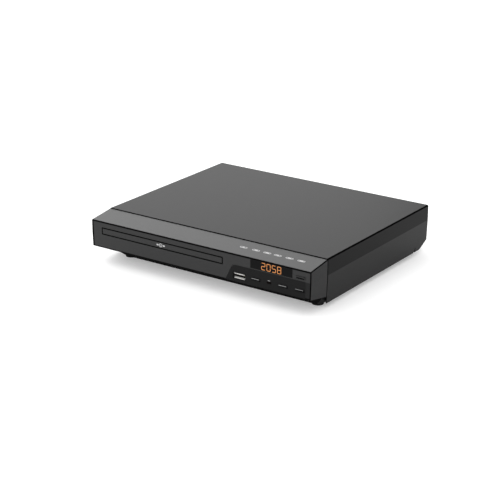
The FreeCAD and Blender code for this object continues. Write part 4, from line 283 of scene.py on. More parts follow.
def cross_screw():
    """A screw along Z, its head standing on the XY plane."""
    deselect()
    bpy.ops.mesh.primitive_cylinder_add(
        vertices=SCREW_SIDES, radius=SCREW_HEAD_R, depth=SCREW_HEAD, location=(0, 0, SCREW_HEAD / 2),
    )
    bpy.ops.object.transform_apply()
    screw = bpy.context.object
    edit(screw)
    pick_faces(screw, lambda middle, way: way.z < -FACING)
    bpy.ops.mesh.inset(thickness=SCREW_HEAD_R - SCREW_SHANK_R)
    bpy.ops.mesh.extrude_region_move(TRANSFORM_OT_translate={"value": (0, 0, SCREW_TIP - SCREW_LENGTH)})
    bpy.ops.mesh.extrude_region_move(TRANSFORM_OT_translate={"value": (0, 0, -SCREW_TIP)})
    bpy.ops.transform.resize(value=(SCREW_TIP_SHARE, SCREW_TIP_SHARE, 1.0))
    top = SCREW_HEAD - SCREW_HEAD_EDGE / 4
    pick_edges(screw, lambda start, end: start.z > top and end.z > top)
    bpy.ops.mesh.bevel(offset=SCREW_HEAD_EDGE, segments=SCREW_EDGE_STEPS, affect="EDGES")
    cross = block(RECESS_SLOT, RECESS_SLOT, 2 * RECESS_DEPTH)
    edit(cross)
    pick_faces(cross, lambda middle, way: abs(way.z) < SIDEWAYS)
    bpy.ops.mesh.extrude_faces_move(TRANSFORM_OT_shrink_fatten={"value": RECESS_ARM - RECESS_SLOT / 2})
    pick_faces(cross, lambda middle, way: way.z < -FACING)
    bpy.ops.transform.resize(value=(RECESS_FLOOR_SHARE, RECESS_FLOOR_SHARE, 1.0))
    deselect()
    move(cross, 0, 0, SCREW_HEAD)
    cut_away(screw, cross)
    return screw


def islands(name):
    """The low and high corners of each separate solid in a CAD node."""
    shape = bmesh.new()
    shape.from_mesh(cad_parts[name].data)
    bmesh.ops.remove_doubles(shape, verts=shape.verts, dist=MERGE_DISTANCE)
    waiting = set(shape.verts)
    boxes = []
    for first in shape.verts:
        if first in waiting:
            waiting.remove(first)
            edge_of_search = [first]
            found = []
            while edge_of_search:
                vert = edge_of_search.pop()
                found.append(vert.co.copy())
                for line in vert.link_edges:
                    other = line.other_vert(vert)
                    if other in waiting:
                        waiting.remove(other)
                        edge_of_search.append(other)
            boxes.append((
                Vector([min(point[axis] for point in found) for axis in range(3)]),
                Vector([max(point[axis] for point in found) for axis in range(3)]),
            ))
    shape.free()
    return boxes


def copy_to(piece, place):
    """A copy of a piece, with its own mesh moved to a place."""
    twin = piece.copy()
    twin.data = piece.data.copy()
    twin.data.transform(place)
    bpy.context.scene.collection.objects.link(twin)
    return twin


def gather(name, pieces):
    """Join pieces into one named piece."""
    deselect()
    for piece in pieces:
        piece.select_set(True)
    bpy.context.view_layer.objects.active = pieces[0]
    if len(pieces) > 1:
        bpy.ops.object.join()
    whole = bpy.context.view_layer.objects.active
    whole.name = name
    whole.data.name = name
    return whole


def finish_piece(piece, body, finish):
    """Smooth a new piece, give it its finish, and fix it to its body."""
    deselect()
    piece.select_set(True)
    bpy.context.view_layer.objects.active = piece
    bpy.ops.object.shade_smooth_by_angle(angle=SMOOTH_ANGLE)
    piece.data.materials.clear()
    piece.data.materials.append(finish)
    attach(piece, body)


def drawn_metal(name, colour, roughness, line, stretch):
    """Drawn or rolled metal: fine lines along it change the gloss more than the colour."""
    finish, nodes, links, shader, place = new_finish(name)
    lay = nodes.new("ShaderNodeMapping")
    lay.inputs["Scale"].default_value = stretch
    links.new(place.outputs["Object"], lay.inputs["Vector"])
    lines = nodes.new("ShaderNodeTexNoise")
    lines.inputs["Scale"].default_value = 1 / line
    lines.inputs["Detail"].default_value = LINE_DETAIL
    links.new(lay.outputs["Vector"], lines.inputs["Vector"])
    dark = times(colour, LINE_DARK_SHARE)
    shades(nodes, links, lines.outputs["Fac"], shader.inputs["Base Color"], dark, colour)
    levels(nodes, links, lines.outputs["Fac"], shader.inputs["Roughness"], roughness, LINE_GLOSS_SPREAD)
    shader.inputs["Metallic"].default_value = 1.0
    return finish


screw = cross_screw()
zinc_plate = drawn_metal("zinc_plate", ZINC, ZINC_ROUGHNESS, SCREW_LINE, ACROSS)
for name in ("board_screws", "loader_screws"):
    heads = []
    for low, high in islands(name):
        middle = (low + high) / 2
        heads.append(copy_to(screw, Matrix.Translation((middle.x, middle.y, high.z - SCREW_HEAD))))
    piece = gather("cross_" + name, heads)
    finish_piece(piece, "base", zinc_plate)
    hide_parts(name)


# Parts on the boards: the main chip under its resin, an extruded heat sink, cans in a shrunk sleeve,
# and a transformer wound on a ferrite core. Moulded resin keeps the fine grain of its mould.
RESIN_DETAIL = 3.0
RESIN_SHARES = (0.86, 1.12)
RESIN_GLOSS_SPREAD = 0.05
RESIN_SHINE = 0.5


def moulded(name, colour, roughness, grain, depth, specular=RESIN_SHINE):
    """Moulded plastic or resin."""
    return grained(
        name, colour, roughness, grain, depth, specular, RESIN_DETAIL, RESIN_SHARES, RESIN_GLOSS_SPREAD,
    )


def dress_moulded(*rows):
    """Dress CAD pieces in moulded finishes: name, colour, roughness, grain, its depth, and the pieces."""
    for name, colour, roughness, grain, depth, *pieces in rows:
        dress(moulded(name, colour, roughness, grain, depth), *pieces)


def dress_drawn(*rows):
    """Dress CAD pieces in drawn metal: name, colour, roughness, line, its way, and the pieces."""
    for name, colour, roughness, line, stretch, *pieces in rows:
        dress(drawn_metal(name, colour, roughness, line, stretch), *pieces)


dress_moulded(
    ("chip_resin", (0.012, 0.012, 0.013), 0.55, 0.3 * MM, 0.01 * MM, "main_chip"),
    ("can_sleeve", (0.012, 0.013, 0.02), 0.3, 1.5 * MM, 0.005 * MM, "capacitors"),
    ("ferrite_core", (0.03, 0.028, 0.027), 0.7, 0.5 * MM, 0.03 * MM, "transformer_core"),
    ("winding_tape", (0.6, 0.42, 0.06), 0.35, 3 * MM, 0.02 * MM, "transformer_winding"),
)
dress_drawn(("extruded_sink", (0.74, 0.75, 0.76), 0.36, 0.5 * MM, UPRIGHT, "heat_sink"))


# Sockets at the rear: three round jacks with coloured rings, a flat socket, and the mains inlet with its
# pins and two wires. Shells are stamped and plated, the rest is moulded.
dress_drawn(
    ("nickel_plate", (0.66, 0.63, 0.56), 0.2, 0.3 * MM, ALONG, "jack_sleeves", "inlet_pins", "av_socket"),
)
dress_moulded(
    ("jack_yellow", (0.72, 0.46, 0.02), 0.35, 0.5 * MM, 0.008 * MM, "video_jack"),
    ("jack_white", (0.78, 0.77, 0.74), 0.35, 0.5 * MM, 0.008 * MM, "left_jack"),
    ("jack_red", (0.6, 0.015, 0.012), 0.35, 0.5 * MM, 0.008 * MM, "right_jack"),
    ("inlet_resin", (0.014, 0.014, 0.015), 0.5, 0.4 * MM, 0.01 * MM, "mains_inlet"),
    ("connector_nylon", (0.72, 0.7, 0.62), 0.45, 0.8 * MM, 0.01 * MM, "power_connector"),
    ("wire_sleeve", (0.02, 0.06, 0.3), 0.4, 0.6 * MM, 0.01 * MM, "mains_wires"),
    ("socket_tongue", (0.02, 0.02, 0.021), 0.45, 0.4 * MM, 0.01 * MM, "av_socket_tongue"),
)


# Loader: a moulded frame with a motor, a belt, and a train of acetal gears that push the tray's rack,
# and a cam slider that lifts the traverse. It is screwed to the pan by its lugs.
BELT_BLACK = (0.012, 0.012, 0.013)
BELT_MOTTLE = 0.5 * MM
ACETAL_PIECES = ("pulley_gear", "drive_gear", "motor_pulley", "cam_slider")
dress_moulded(
    ("frame_resin", (0.085, 0.087, 0.09), 0.5, 0.6 * MM, 0.015 * MM, "loader_frame"),
    ("white_acetal", (0.76, 0.75, 0.7), 0.38, 0.8 * MM, 0.008 * MM, *ACETAL_PIECES),
)
dress_drawn(("motor_can", (0.56, 0.56, 0.55), 0.3, 0.4 * MM, UPRIGHT, "loading_motor", "spindle_motor"))
dress(dull_rubber("belt_rubber", BELT_BLACK, BELT_MOTTLE), "drive_belt")


# Traverse: a stamped steel plate on two trunnions that carries the turntable, the rods, and the sled
# with its lens. The sled runs on ground rods and is fed by a threaded brass screw.
LENS_BLUE = (0.05, 0.05, 0.12)
LENS_VIOLET = (0.09, 0.06, 0.2)
LENS_SPOT = 2 * MM
LENS_DETAIL = 2.0
LENS_ROUGHNESS = 0.04
LENS_COAT = 0.6
dress_drawn(
    ("stamped_steel", (0.52, 0.52, 0.5), 0.34, 0.5 * MM, ACROSS, "traverse_plate", "clamp_bridge"),
    ("ground_rod", (0.66, 0.66, 0.65), 0.16, 0.3 * MM, ALONG, "guide_rods"),
    ("feed_motor_can", (0.56, 0.56, 0.55), 0.3, 0.4 * MM, ALONG, "feed_motor"),
    ("turned_brass", (0.72, 0.52, 0.2), 0.26, 0.3 * MM, ALONG, "feed_screw"),
)
dress_moulded(
    ("table_resin", (0.015, 0.015, 0.016), 0.5, 0.4 * MM, 0.01 * MM, "turntable"),
    ("sled_resin", (0.14, 0.145, 0.15), 0.48, 0.5 * MM, 0.015 * MM, "pickup_sled"),
)
coated_lens, nodes, links, shader, place = new_finish("coated_lens")
coating = speckle(nodes, links, place, LENS_SPOT, LENS_DETAIL)
shades(nodes, links, coating, shader.inputs["Base Color"], LENS_BLUE, LENS_VIOLET)
shader.inputs["Roughness"].default_value = LENS_ROUGHNESS
shader.inputs["Coat Weight"].default_value = LENS_COAT
dress(coated_lens, "objective_lens")


# Clamper: a white moulded puck that presses a disc on the turntable, hollow below for the turntable's hub.
# It hangs in the bridge over the tray by the stamped steel yoke on its top.
dress_moulded(("clamper_resin", (0.74, 0.74, 0.72), 0.42, 0.8 * MM, 0.01 * MM, "disc_clamper"))
dress_drawn(("yoke_steel", (0.46, 0.46, 0.46), 0.3, 0.4 * MM, ACROSS, "clamper_yoke"))


# Tray: black moulded plastic with wells for two sizes of disc; its rack runs in a groove below.
# It slides in the loader's rails, and its face has the matt grain of the mould.
dress_moulded(("tray_plastic", (0.014, 0.014, 0.0145), 0.5, 0.3 * MM, 0.02 * MM, "disc_tray"))


# Front board pieces: key switches, the display behind its window, the sensor, and the data port: a shell of
# plated sheet with painted shade deeper inside, a rolled leaf above and below, and a pale tongue with four
# contacts on top, with painted shade over all of the tongue but its foot.
SENSOR_BLACK = (0.002, 0.001, 0.001)
SENSOR_ROUGHNESS = 0.2
SENSOR_SHINE = 0.03
CLEAR_GRAIN = 2 * MM
CLEAR_GRAIN_DEPTH = 0.001 * MM
PORT_STEEL = (0.7, 0.69, 0.67)
PORT_ROUGHNESS = 0.42
PORT_LINE = 0.4 * MM
PORT_UNSHADED_DEPTH = 0.8 * MM
PORT_FULL_SHADE_DEPTH = 1.8 * MM
PORT_PAINTED_SHADE = 0.04
TONGUE_NYLON = (0.33, 0.33, 0.32)
TONGUE_ROUGHNESS = 0.42
TONGUE_GRAIN = 0.6 * MM
TONGUE_GRAIN_DEPTH = 0.006 * MM
TONGUE_TOP = 0.15 * MM
TONGUE_PAINTED_SHADE = 0.02
TONGUE_SHADE_TALL = 1.4 * MM
TONGUE_SHADE_EDGE = 0.1 * MM
LEAF_WIDE = 9.8 * MM
LEAF_DEEP = 2.2 * MM
LEAF_AHEAD = 0.6 * MM
LEAF_ROLL_SHARE = 0.44
UPPER_LEAF_TALL = 0.8 * MM
UPPER_LEAF_DROP = 0.85 * MM
LOWER_LEAF_TALL = 0.65 * MM
LOWER_LEAF_RISE = 0.32 * MM
ROUND_STEPS = 5
CONTACT_COUNT = 4
CONTACT_WIDE = 1.0 * MM
CONTACT_LONG = 2.4 * MM
CONTACT_THICK = 0.3 * MM
CONTACT_PITCH = 2.4 * MM
CONTACT_BACK = 1.2 * MM
CONTACT_EDGE_SHARE = 0.4
CONTACT_EDGE_STEPS = 3
CONTACT_GILT = (0.86, 0.78, 0.58)
CONTACT_ROUGHNESS = 0.35
CONTACT_LINE = 0.2 * MM


def opened(finish):
    """A finish taken up again: its nodes, links, shader, and the place on the piece."""
    nodes = finish.node_tree.nodes
    place = nodes["Texture Coordinate"].outputs["Object"]
    return nodes, finish.node_tree.links, nodes["Principled BSDF"], place


def split(nodes, links, vector):
    """The X, Y, and Z of a vector."""
    parts = nodes.new("ShaderNodeSeparateXYZ")
    links.new(vector, parts.inputs["Vector"])
    return parts.outputs


def sum_node(nodes, links, operation, first, *others):
    """Values, each a socket or a number, taken together in turn by one kind of sum."""
    for other in others:
        step = nodes.new("ShaderNodeMath")
        step.operation = operation
        for place, value in enumerate((first, other)):
            if isinstance(value, (int, float)):
                step.inputs[place].default_value = value
            else:
                links.new(value, step.inputs[place])
        first = step.outputs["Value"]
    return first


def ramp_node(nodes, links, value, start, end, low, high):
    """A value led from one range to another, held at both ends."""
    span = nodes.new("ShaderNodeMapRange")
    for name, level in (("From Min", start), ("From Max", end), ("To Min", low), ("To Max", high)):
        span.inputs[name].default_value = level
    links.new(value, span.inputs["Value"])
    return span.outputs["Result"]


def between(nodes, links, mask, low, high):
    """The low value where a mask is 0, and the high value where it is 1."""
    return ramp_node(nodes, links, mask, 0.0, 1.0, low, high)


def darken(nodes, links, shader, shade):
    """Scale a shader's colour by a value."""
    colour = shader.inputs["Base Color"]
    tint = nodes.new("ShaderNodeVectorMath")
    tint.operation = "SCALE"
    links.new(colour.links[0].from_socket, tint.inputs["Vector"])
    links.new(shade, tint.inputs["Scale"])
    links.new(tint.outputs["Vector"], colour)


dress_moulded(
    ("switch_resin", (0.16, 0.16, 0.165), 0.5, 0.4 * MM, 0.01 * MM, "button_switches"),
    ("display_back", (0.02, 0.02, 0.02), 0.4, 1 * MM, 0.004 * MM, "display_module"),
)
sensor_filter = moulded(
    "sensor_filter", SENSOR_BLACK, SENSOR_ROUGHNESS, CLEAR_GRAIN, CLEAR_GRAIN_DEPTH, SENSOR_SHINE,
)
dress(sensor_filter, "sensor_window", "remote_sensor")
shell_low, shell_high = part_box("data_port_shell")
port_middle = (shell_low + shell_high) / 2
port_plate = drawn_metal("port_plate", PORT_STEEL, PORT_ROUGHNESS, PORT_LINE, ACROSS)
nodes, links, shader, place = opened(port_plate)
# Painted shade: the shell's colour fades darker from a little way in to its back, where the port lies in
# shade.
unshaded_y = shell_low.y + PORT_UNSHADED_DEPTH
full_shade_y = shell_low.y + PORT_FULL_SHADE_DEPTH
painted_inside_shade = ramp_node(
    nodes, links, split(nodes, links, place)["Y"], unshaded_y, full_shade_y, 1.0, PORT_PAINTED_SHADE,
)
darken(nodes, links, shader, painted_inside_shade)
dress(port_plate, "data_port_shell")
port_nylon = moulded("port_nylon", TONGUE_NYLON, TONGUE_ROUGHNESS, TONGUE_GRAIN, TONGUE_GRAIN_DEPTH)
nodes, links, shader, place = opened(port_nylon)
# Painted shade: above its pale foot the tongue is darkened and its gloss taken away, where the port shades
# it.
foot_z = port_middle.z + TONGUE_TOP - TONGUE_SHADE_TALL
foot_end = foot_z - TONGUE_SHADE_EDGE
shade_start = foot_z + TONGUE_SHADE_EDGE
unshaded_foot = ramp_node(nodes, links, split(nodes, links, place)["Z"], foot_end, shade_start, 1.0, 0.0)
darken(nodes, links, shader, between(nodes, links, unshaded_foot, TONGUE_PAINTED_SHADE, 1.0))
links.new(between(nodes, links, unshaded_foot, 0.0, RESIN_SHINE), shader.inputs["Specular IOR Level"])
dress(port_nylon, "data_port_tongue")
tongue_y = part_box("data_port_tongue")[0].y


def rolled_leaf(tall, low_z):
    """A leaf of sheet across the port's mouth, with its front rolled in."""
    leaf = block(LEAF_WIDE, LEAF_DEEP, tall)
    edit(leaf)
    pick_edges(leaf, lambda start, end: start.y < 0 and end.y < 0 and abs(start.x - end.x) > tall)
    bpy.ops.mesh.bevel(offset=LEAF_ROLL_SHARE * tall, segments=ROUND_STEPS, affect="EDGES")
    deselect()
    move(leaf, port_middle.x, shell_low.y - LEAF_AHEAD + LEAF_DEEP / 2, low_z + tall / 2)
    return leaf


leaves = [
    rolled_leaf(UPPER_LEAF_TALL, shell_high.z - UPPER_LEAF_DROP - UPPER_LEAF_TALL),
    rolled_leaf(LOWER_LEAF_TALL, shell_low.z + LOWER_LEAF_RISE),
]
finish_piece(gather("port_leaves", leaves), "base", port_plate)
strips = []
for number in range(CONTACT_COUNT):
    strip = block(CONTACT_WIDE, CONTACT_LONG, CONTACT_THICK)
    edit(strip)
    pick_edges(strip, lambda start, end: start.z > 0 and end.z > 0)
    bpy.ops.mesh.bevel(offset=CONTACT_EDGE_SHARE * CONTACT_THICK, segments=CONTACT_EDGE_STEPS, affect="EDGES")
    deselect()
    move(
        strip,
        port_middle.x + (number - (CONTACT_COUNT - 1) / 2) * CONTACT_PITCH,
        tongue_y + CONTACT_BACK + CONTACT_LONG / 2,
        port_middle.z + TONGUE_TOP + CONTACT_THICK / 4,
    )
    strips.append(strip)
contact_gilt = drawn_metal("contact_gilt", CONTACT_GILT, CONTACT_ROUGHNESS, CONTACT_LINE, ALONG)
finish_piece(gather("port_contacts", strips), "base", contact_gilt)


# Front panel and tray door: black moulded plastic with a spark-eroded grain from the mould, duller on the
# panel's short sides, with painted shade and no gloss along its rounded edges and in bands at the top, the
# bottom and the left end of the face. A strip of print beside the inlay carries its black on to the corner.
PANEL_BLACK = (0.006, 0.006, 0.0062)
PANEL_ROUGHNESS = 0.42
PANEL_GRAIN = 0.22 * MM
PANEL_GRAIN_DEPTH = 0.01 * MM
PANEL_SHINE = 0.34
SIDE_SHINE_SHARE = 0.45
SIDE_START = 1.05 * MM
SIDE_FULL = 0.95 * MM
PRINT_SHINE_SHARE = 0.4
PRINT_SIDE_EDGE = 0.1 * MM
PRINT_TOP_EDGE = 0.3 * MM
EDGE_BAND = 1.3 * MM
EDGE_FULL_SHARE = 0.7
LEFT_BAND = 2.5 * MM
LEFT_FULL_SHARE = 0.8
SIDE_DRAWN_IN = 0.5 * MM
CREASE_Z = 28.9 * MM
BEVEL_RUN = 24.2 * MM
BEVEL_RISE = 3.15 * MM
FACE_BELOW_INLAY = 0.4 * MM
FACE_START = 0.1 * MM
FACE_END = 0.3 * MM
SHADED_EDGE_SHINE = 0.0
EDGE_PAINTED_SHADE = 0.2
TURN_START = 0.22
TURN_FULL = 0.36


def rounded_edges(nodes, links, pairs):
    """How far a surface turns between two axes: 0 on flat walls, 1 on a rounded edge."""
    turn = split(nodes, links, nodes.new("ShaderNodeNewGeometry").outputs["Normal"])
    most = 0.0
    for first, second in pairs:
        both = sum_node(nodes, links, "MULTIPLY", turn[first], turn[second])
        both = sum_node(nodes, links, "ABSOLUTE", both, 0.0)
        most = sum_node(nodes, links, "MAXIMUM", both, most)
    return ramp_node(nodes, links, most, TURN_START, TURN_FULL, 0.0, 1.0)


panel_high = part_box("front_panel")[1]
side_x = panel_high.x
inlay_low, inlay_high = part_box("control_inlay")
face_low_z = inlay_low.z - FACE_BELOW_INLAY
face_high_z = panel_high.z - BEVEL_RISE
panel_plastic = moulded("panel_plastic", PANEL_BLACK, PANEL_ROUGHNESS, PANEL_GRAIN, PANEL_GRAIN_DEPTH)
nodes, links, shader, place = opened(panel_plastic)
axes = split(nodes, links, place)
from_middle = sum_node(nodes, links, "ABSOLUTE", axes["X"], 0.0)
on_side = ramp_node(nodes, links, from_middle, side_x - SIDE_START, side_x - SIDE_FULL, 0.0, 1.0)
# Painted shade: rounded edges at the front, and bands at the top, bottom and left end of the face, darkened
# and without gloss.
ahead = ramp_node(nodes, links, axes["Y"], inlay_low.y, inlay_low.y + BEVEL_RUN / 2, 1.0, 0.0)
front_edge = sum_node(nodes, links, "MULTIPLY", rounded_edges(nodes, links, (("Y", "Z"),)), ahead)
full_band = EDGE_FULL_SHARE * EDGE_BAND
lower = ramp_node(nodes, links, axes["Z"], face_low_z + full_band, face_low_z + EDGE_BAND, 1.0, 0.0)
upper = ramp_node(nodes, links, axes["Z"], face_high_z - EDGE_BAND, face_high_z - full_band, 0.0, 1.0)
drawn_in = ramp_node(nodes, links, axes["Z"], face_low_z, CREASE_Z, SIDE_DRAWN_IN, 0.0)
across = sum_node(nodes, links, "SUBTRACT", axes["X"], drawn_in)
left = ramp_node(nodes, links, across, LEFT_FULL_SHARE * LEFT_BAND - side_x, LEFT_BAND - side_x, 1.0, 0.0)
front = ramp_node(nodes, links, axes["Y"], inlay_low.y + FACE_START, inlay_low.y + FACE_END, 1.0, 0.0)
shade_bands = sum_node(nodes, links, "MAXIMUM", lower, upper, left)
shade_bands = sum_node(nodes, links, "MULTIPLY", shade_bands, front)
side_edges = rounded_edges(nodes, links, (("X", "Y"), ("X", "Z")))
painted_edge_shade = sum_node(nodes, links, "MAXIMUM", side_edges, front_edge, shade_bands)
darken(nodes, links, shader, between(nodes, links, painted_edge_shade, 1.0, EDGE_PAINTED_SHADE))
beside = ramp_node(nodes, links, axes["X"], inlay_high.x, inlay_high.x + PRINT_SIDE_EDGE, 0.0, 1.0)
under = ramp_node(nodes, links, axes["Z"], inlay_high.z - PRINT_TOP_EDGE, inlay_high.z, 1.0, 0.0)
printed = sum_node(nodes, links, "MULTIPLY", beside, under, front)
side_shine = between(nodes, links, on_side, PANEL_SHINE, PANEL_SHINE * SIDE_SHINE_SHARE)
print_shine = between(nodes, links, printed, 1.0, PRINT_SHINE_SHARE)
edge_shine = between(nodes, links, painted_edge_shade, 1.0, SHADED_EDGE_SHINE)
shine = sum_node(nodes, links, "MULTIPLY", side_shine, print_shine, edge_shine)
links.new(shine, shader.inputs["Specular IOR Level"])
dress(panel_plastic, "front_panel", "tray_door")


# Control inlay and display window: a black trim piece let into the panel, and a smoked window over it. The
# inlay's dark print ends in a round at its upper left corner, where the panel's own black goes on.
INLAY_BLACK = (0.002, 0.002, 0.0021)
INLAY_ROUGHNESS = 0.32
INLAY_GRAIN = 0.8 * MM
INLAY_GRAIN_DEPTH = 0.003 * MM
INLAY_SHINE = 0.12
INLAY_SLANT = 7.4 * MM
INLAY_ROUND = 5.6 * MM
INLAY_ROUND_EDGE = 0.05 * MM
WINDOW_BLACK = (0.0008, 0.0008, 0.0009)
WINDOW_ROUGHNESS = 0.14
WINDOW_SHINE = 0.08
IN_FACE = (1.0, 0.0, 1.0)


def vector_node(nodes, links, operation, vector, fixed):
    """A vector set against a fixed one; its outputs hold a vector and a value."""
    step = nodes.new("ShaderNodeVectorMath")
    step.operation = operation
    step.inputs[1].default_value = fixed
    links.new(vector, step.inputs[0])
    return step.outputs


inlay_gloss = moulded(
    "inlay_gloss", INLAY_BLACK, INLAY_ROUGHNESS, INLAY_GRAIN, INLAY_GRAIN_DEPTH, INLAY_SHINE,
)
nodes, links, shader, place = opened(inlay_gloss)
half_turn = atan2(inlay_high.z - inlay_low.z, INLAY_SLANT) / 2
corner = Vector((inlay_low.x + INLAY_SLANT, 0.0, inlay_high.z))
outward = Vector((-sin(half_turn), 0.0, cos(half_turn)))
round_middle = corner - outward * INLAY_ROUND / cos(half_turn)
chord = round_middle.dot(outward) + INLAY_ROUND * cos(half_turn)
flat = vector_node(nodes, links, "MULTIPLY", place, IN_FACE)["Vector"]
away = vector_node(nodes, links, "DISTANCE", flat, round_middle)["Value"]
along = vector_node(nodes, links, "DOT_PRODUCT", flat, outward)["Value"]
beyond, cornered = (
    ramp_node(nodes, links, value, limit - INLAY_ROUND_EDGE, limit + INLAY_ROUND_EDGE, 0.0, 1.0)
    for value, limit in ((away, INLAY_ROUND), (along, chord))
)
bare = sum_node(nodes, links, "MULTIPLY", beyond, cornered)
darken(nodes, links, shader, between(nodes, links, bare, 1.0, PANEL_BLACK[0] / INLAY_BLACK[0]))
links.new(between(nodes, links, bare, INLAY_SHINE, PANEL_SHINE), shader.inputs["Specular IOR Level"])
dress(inlay_gloss, "control_inlay")
smoked_window = moulded(
    "smoked_window", WINDOW_BLACK, WINDOW_ROUGHNESS, CLEAR_GRAIN, CLEAR_GRAIN_DEPTH, WINDOW_SHINE,
)
dress(smoked_window, "display_window")


# Figures: four lit figures of seven bars each behind the smoked window, glowing amber.
# One bar is modelled with pointed ends, then copied to the lit places of each figure.
FIGURES = "2058"
LIT_BARS = {"0": "abcdef", "2": "abged", "5": "afgcd", "8": "abcdefg"}
FIGURE_WIDE = 3.3 * MM
FIGURE_TALL = 5.6 * MM
FIGURE_PITCH = 5.1 * MM
FIGURE_LIFT = 0.65 * MM
FIGURE_PROUD = 0.03 * MM
BAR_THICK = 0.56 * MM
BAR_GAP = 0.12 * MM
BAR_POINT_SHARE = 0.15
AMBER = (1.0, 0.37, 0.085)
AMBER_LEVEL = 0.75
AMBER_DARK_SHARE = 0.85
AMBER_SPOT = 0.7 * MM
AMBER_DETAIL = 2.0
AMBER_UNLIT = (0.05, 0.015, 0.003)
AMBER_ROUGHNESS = 0.5


def pointed_bar(length):
    """A lit bar along X with pointed ends."""
    bar = block(length - BAR_THICK - BAR_GAP, FIGURE_PROUD, BAR_THICK)
    edit(bar)
    for way_x in (-1, 1):
        pick_faces(bar, lambda middle, way: way.x * way_x > FACING)
        bpy.ops.mesh.extrude_region_move(TRANSFORM_OT_translate={"value": (way_x * BAR_THICK / 2, 0, 0)})
        bpy.ops.transform.resize(value=(1.0, 1.0, BAR_POINT_SHARE))
    deselect()
    return bar


flat_bar = pointed_bar(FIGURE_WIDE)
tall_bar = pointed_bar(FIGURE_TALL / 2)
tall_bar.data.transform(Matrix.Rotation(pi / 2, 4, "Y"))
bar_places = {
    "a": (flat_bar, 0, 1),
    "b": (tall_bar, 1, 0.5),
    "c": (tall_bar, 1, -0.5),
    "d": (flat_bar, 0, -1),
    "e": (tall_bar, -1, -0.5),
    "f": (tall_bar, -1, 0.5),
    "g": (flat_bar, 0, 0),
}
low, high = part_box("display_window")
window_middle = (low + high) / 2
bars = []
for number, figure in enumerate(FIGURES):
    figure_x = window_middle.x + (number - (len(FIGURES) - 1) / 2) * FIGURE_PITCH
    for letter in LIT_BARS[figure]:
        bar, side, up = bar_places[letter]
        bars.append(copy_to(bar, Matrix.Translation((
            figure_x + side * FIGURE_WIDE / 2, low.y, window_middle.z + FIGURE_LIFT + up * FIGURE_TALL / 2,
        ))))
figures = gather("display_figures", bars)
amber, nodes, links, shader, place = new_finish("amber_glow")
glow = speckle(nodes, links, place, AMBER_SPOT, AMBER_DETAIL)
shades(nodes, links, glow, shader.inputs["Emission Color"], times(AMBER, AMBER_DARK_SHARE), AMBER)
shader.inputs["Base Color"].default_value = (*AMBER_UNLIT, 1.0)
shader.inputs["Emission Strength"].default_value = AMBER_LEVEL
shader.inputs["Roughness"].default_value = AMBER_ROUGHNESS
finish_piece(figures, "base", amber)
for pattern in (flat_bar, tall_bar):
    bpy.data.objects.remove(pattern)


# Buttons: three black pillow keys in the inlay, each with a pale line of painted highlight on its upper part,
# and one key in the panel's own plastic with a black line of painted shadow across it.
KEY_BLACK = (0.0015, 0.0015, 0.0016)
KEY_ROUGHNESS = 0.34
KEY_GRAIN = 0.25 * MM
KEY_GRAIN_DEPTH = 0.006 * MM
KEY_SHINE = 0.05
BUTTON_LINE_WIDE = 7.4 * MM
KEY_HIGHLIGHT_TALL = 0.42 * MM
KEY_HIGHLIGHT_RISE = 0.5 * MM
THIN_HIGHLIGHT_TALL = 0.28 * MM
THIN_HIGHLIGHT_RISE = 0.72 * MM
SHADE_LINE_TALL = 1.05 * MM
SHADE_LINE_RISE = -0.3 * MM
PRINT_THICK = 0.03 * MM
PILL_ROUND_SHARE = 0.49
HIGHLIGHT_GREY = (0.26, 0.26, 0.26)
SHADE_LINE_BLACK = (0.001, 0.001, 0.001)
SHADE_LINE_SHINE = 0.02
INK_SPOT = 0.4 * MM
INK_DETAIL = 3.0
INK_DARK_SHARE = 0.85
INK_ROUGHNESS = 0.55
INK_GLOSS_SPREAD = 0.05


def pill(wide, tall):
    """A thin bar with round ends, facing the front, for print and for painted highlights and shade."""
    bar = block(wide, PRINT_THICK, tall)
    edit(bar)
    pick_edges(bar, lambda start, end: abs(start.y - end.y) > PRINT_THICK / 2)
    bpy.ops.mesh.bevel(offset=PILL_ROUND_SHARE * tall, segments=ROUND_STEPS, affect="EDGES")
    deselect()
    return bar


def ink_for_print_and_painted_light(name, colour):
    """Ink that covers a little unevenly, for real print and for painted highlights and shade."""
    finish, nodes, links, shader, place = new_finish(name)
    cover = speckle(nodes, links, place, INK_SPOT, INK_DETAIL)
    shades(nodes, links, cover, shader.inputs["Base Color"], times(colour, INK_DARK_SHARE), colour)
    levels(nodes, links, cover, shader.inputs["Roughness"], INK_ROUGHNESS, INK_GLOSS_SPREAD)
    return finish


button_plastic = moulded("button_plastic", KEY_BLACK, KEY_ROUGHNESS, KEY_GRAIN, KEY_GRAIN_DEPTH, KEY_SHINE)
dress(button_plastic, "play_button", "stop_button", "open_button")
key_plastic = moulded(
    "key_plastic", PANEL_BLACK, PANEL_ROUGHNESS, PANEL_GRAIN, PANEL_GRAIN_DEPTH, PANEL_SHINE,
)
dress(key_plastic, "standby_button")
painted_highlight_ink = ink_for_print_and_painted_light("painted_highlight_ink", HIGHLIGHT_GREY)
# Painted shadow: the black line across the standby key stands for the shade in its gap.
painted_shade_ink = ink_for_print_and_painted_light("painted_shade_ink", SHADE_LINE_BLACK)
nodes, links, shader, place = opened(painted_shade_ink)
shader.inputs["Specular IOR Level"].default_value = SHADE_LINE_SHINE
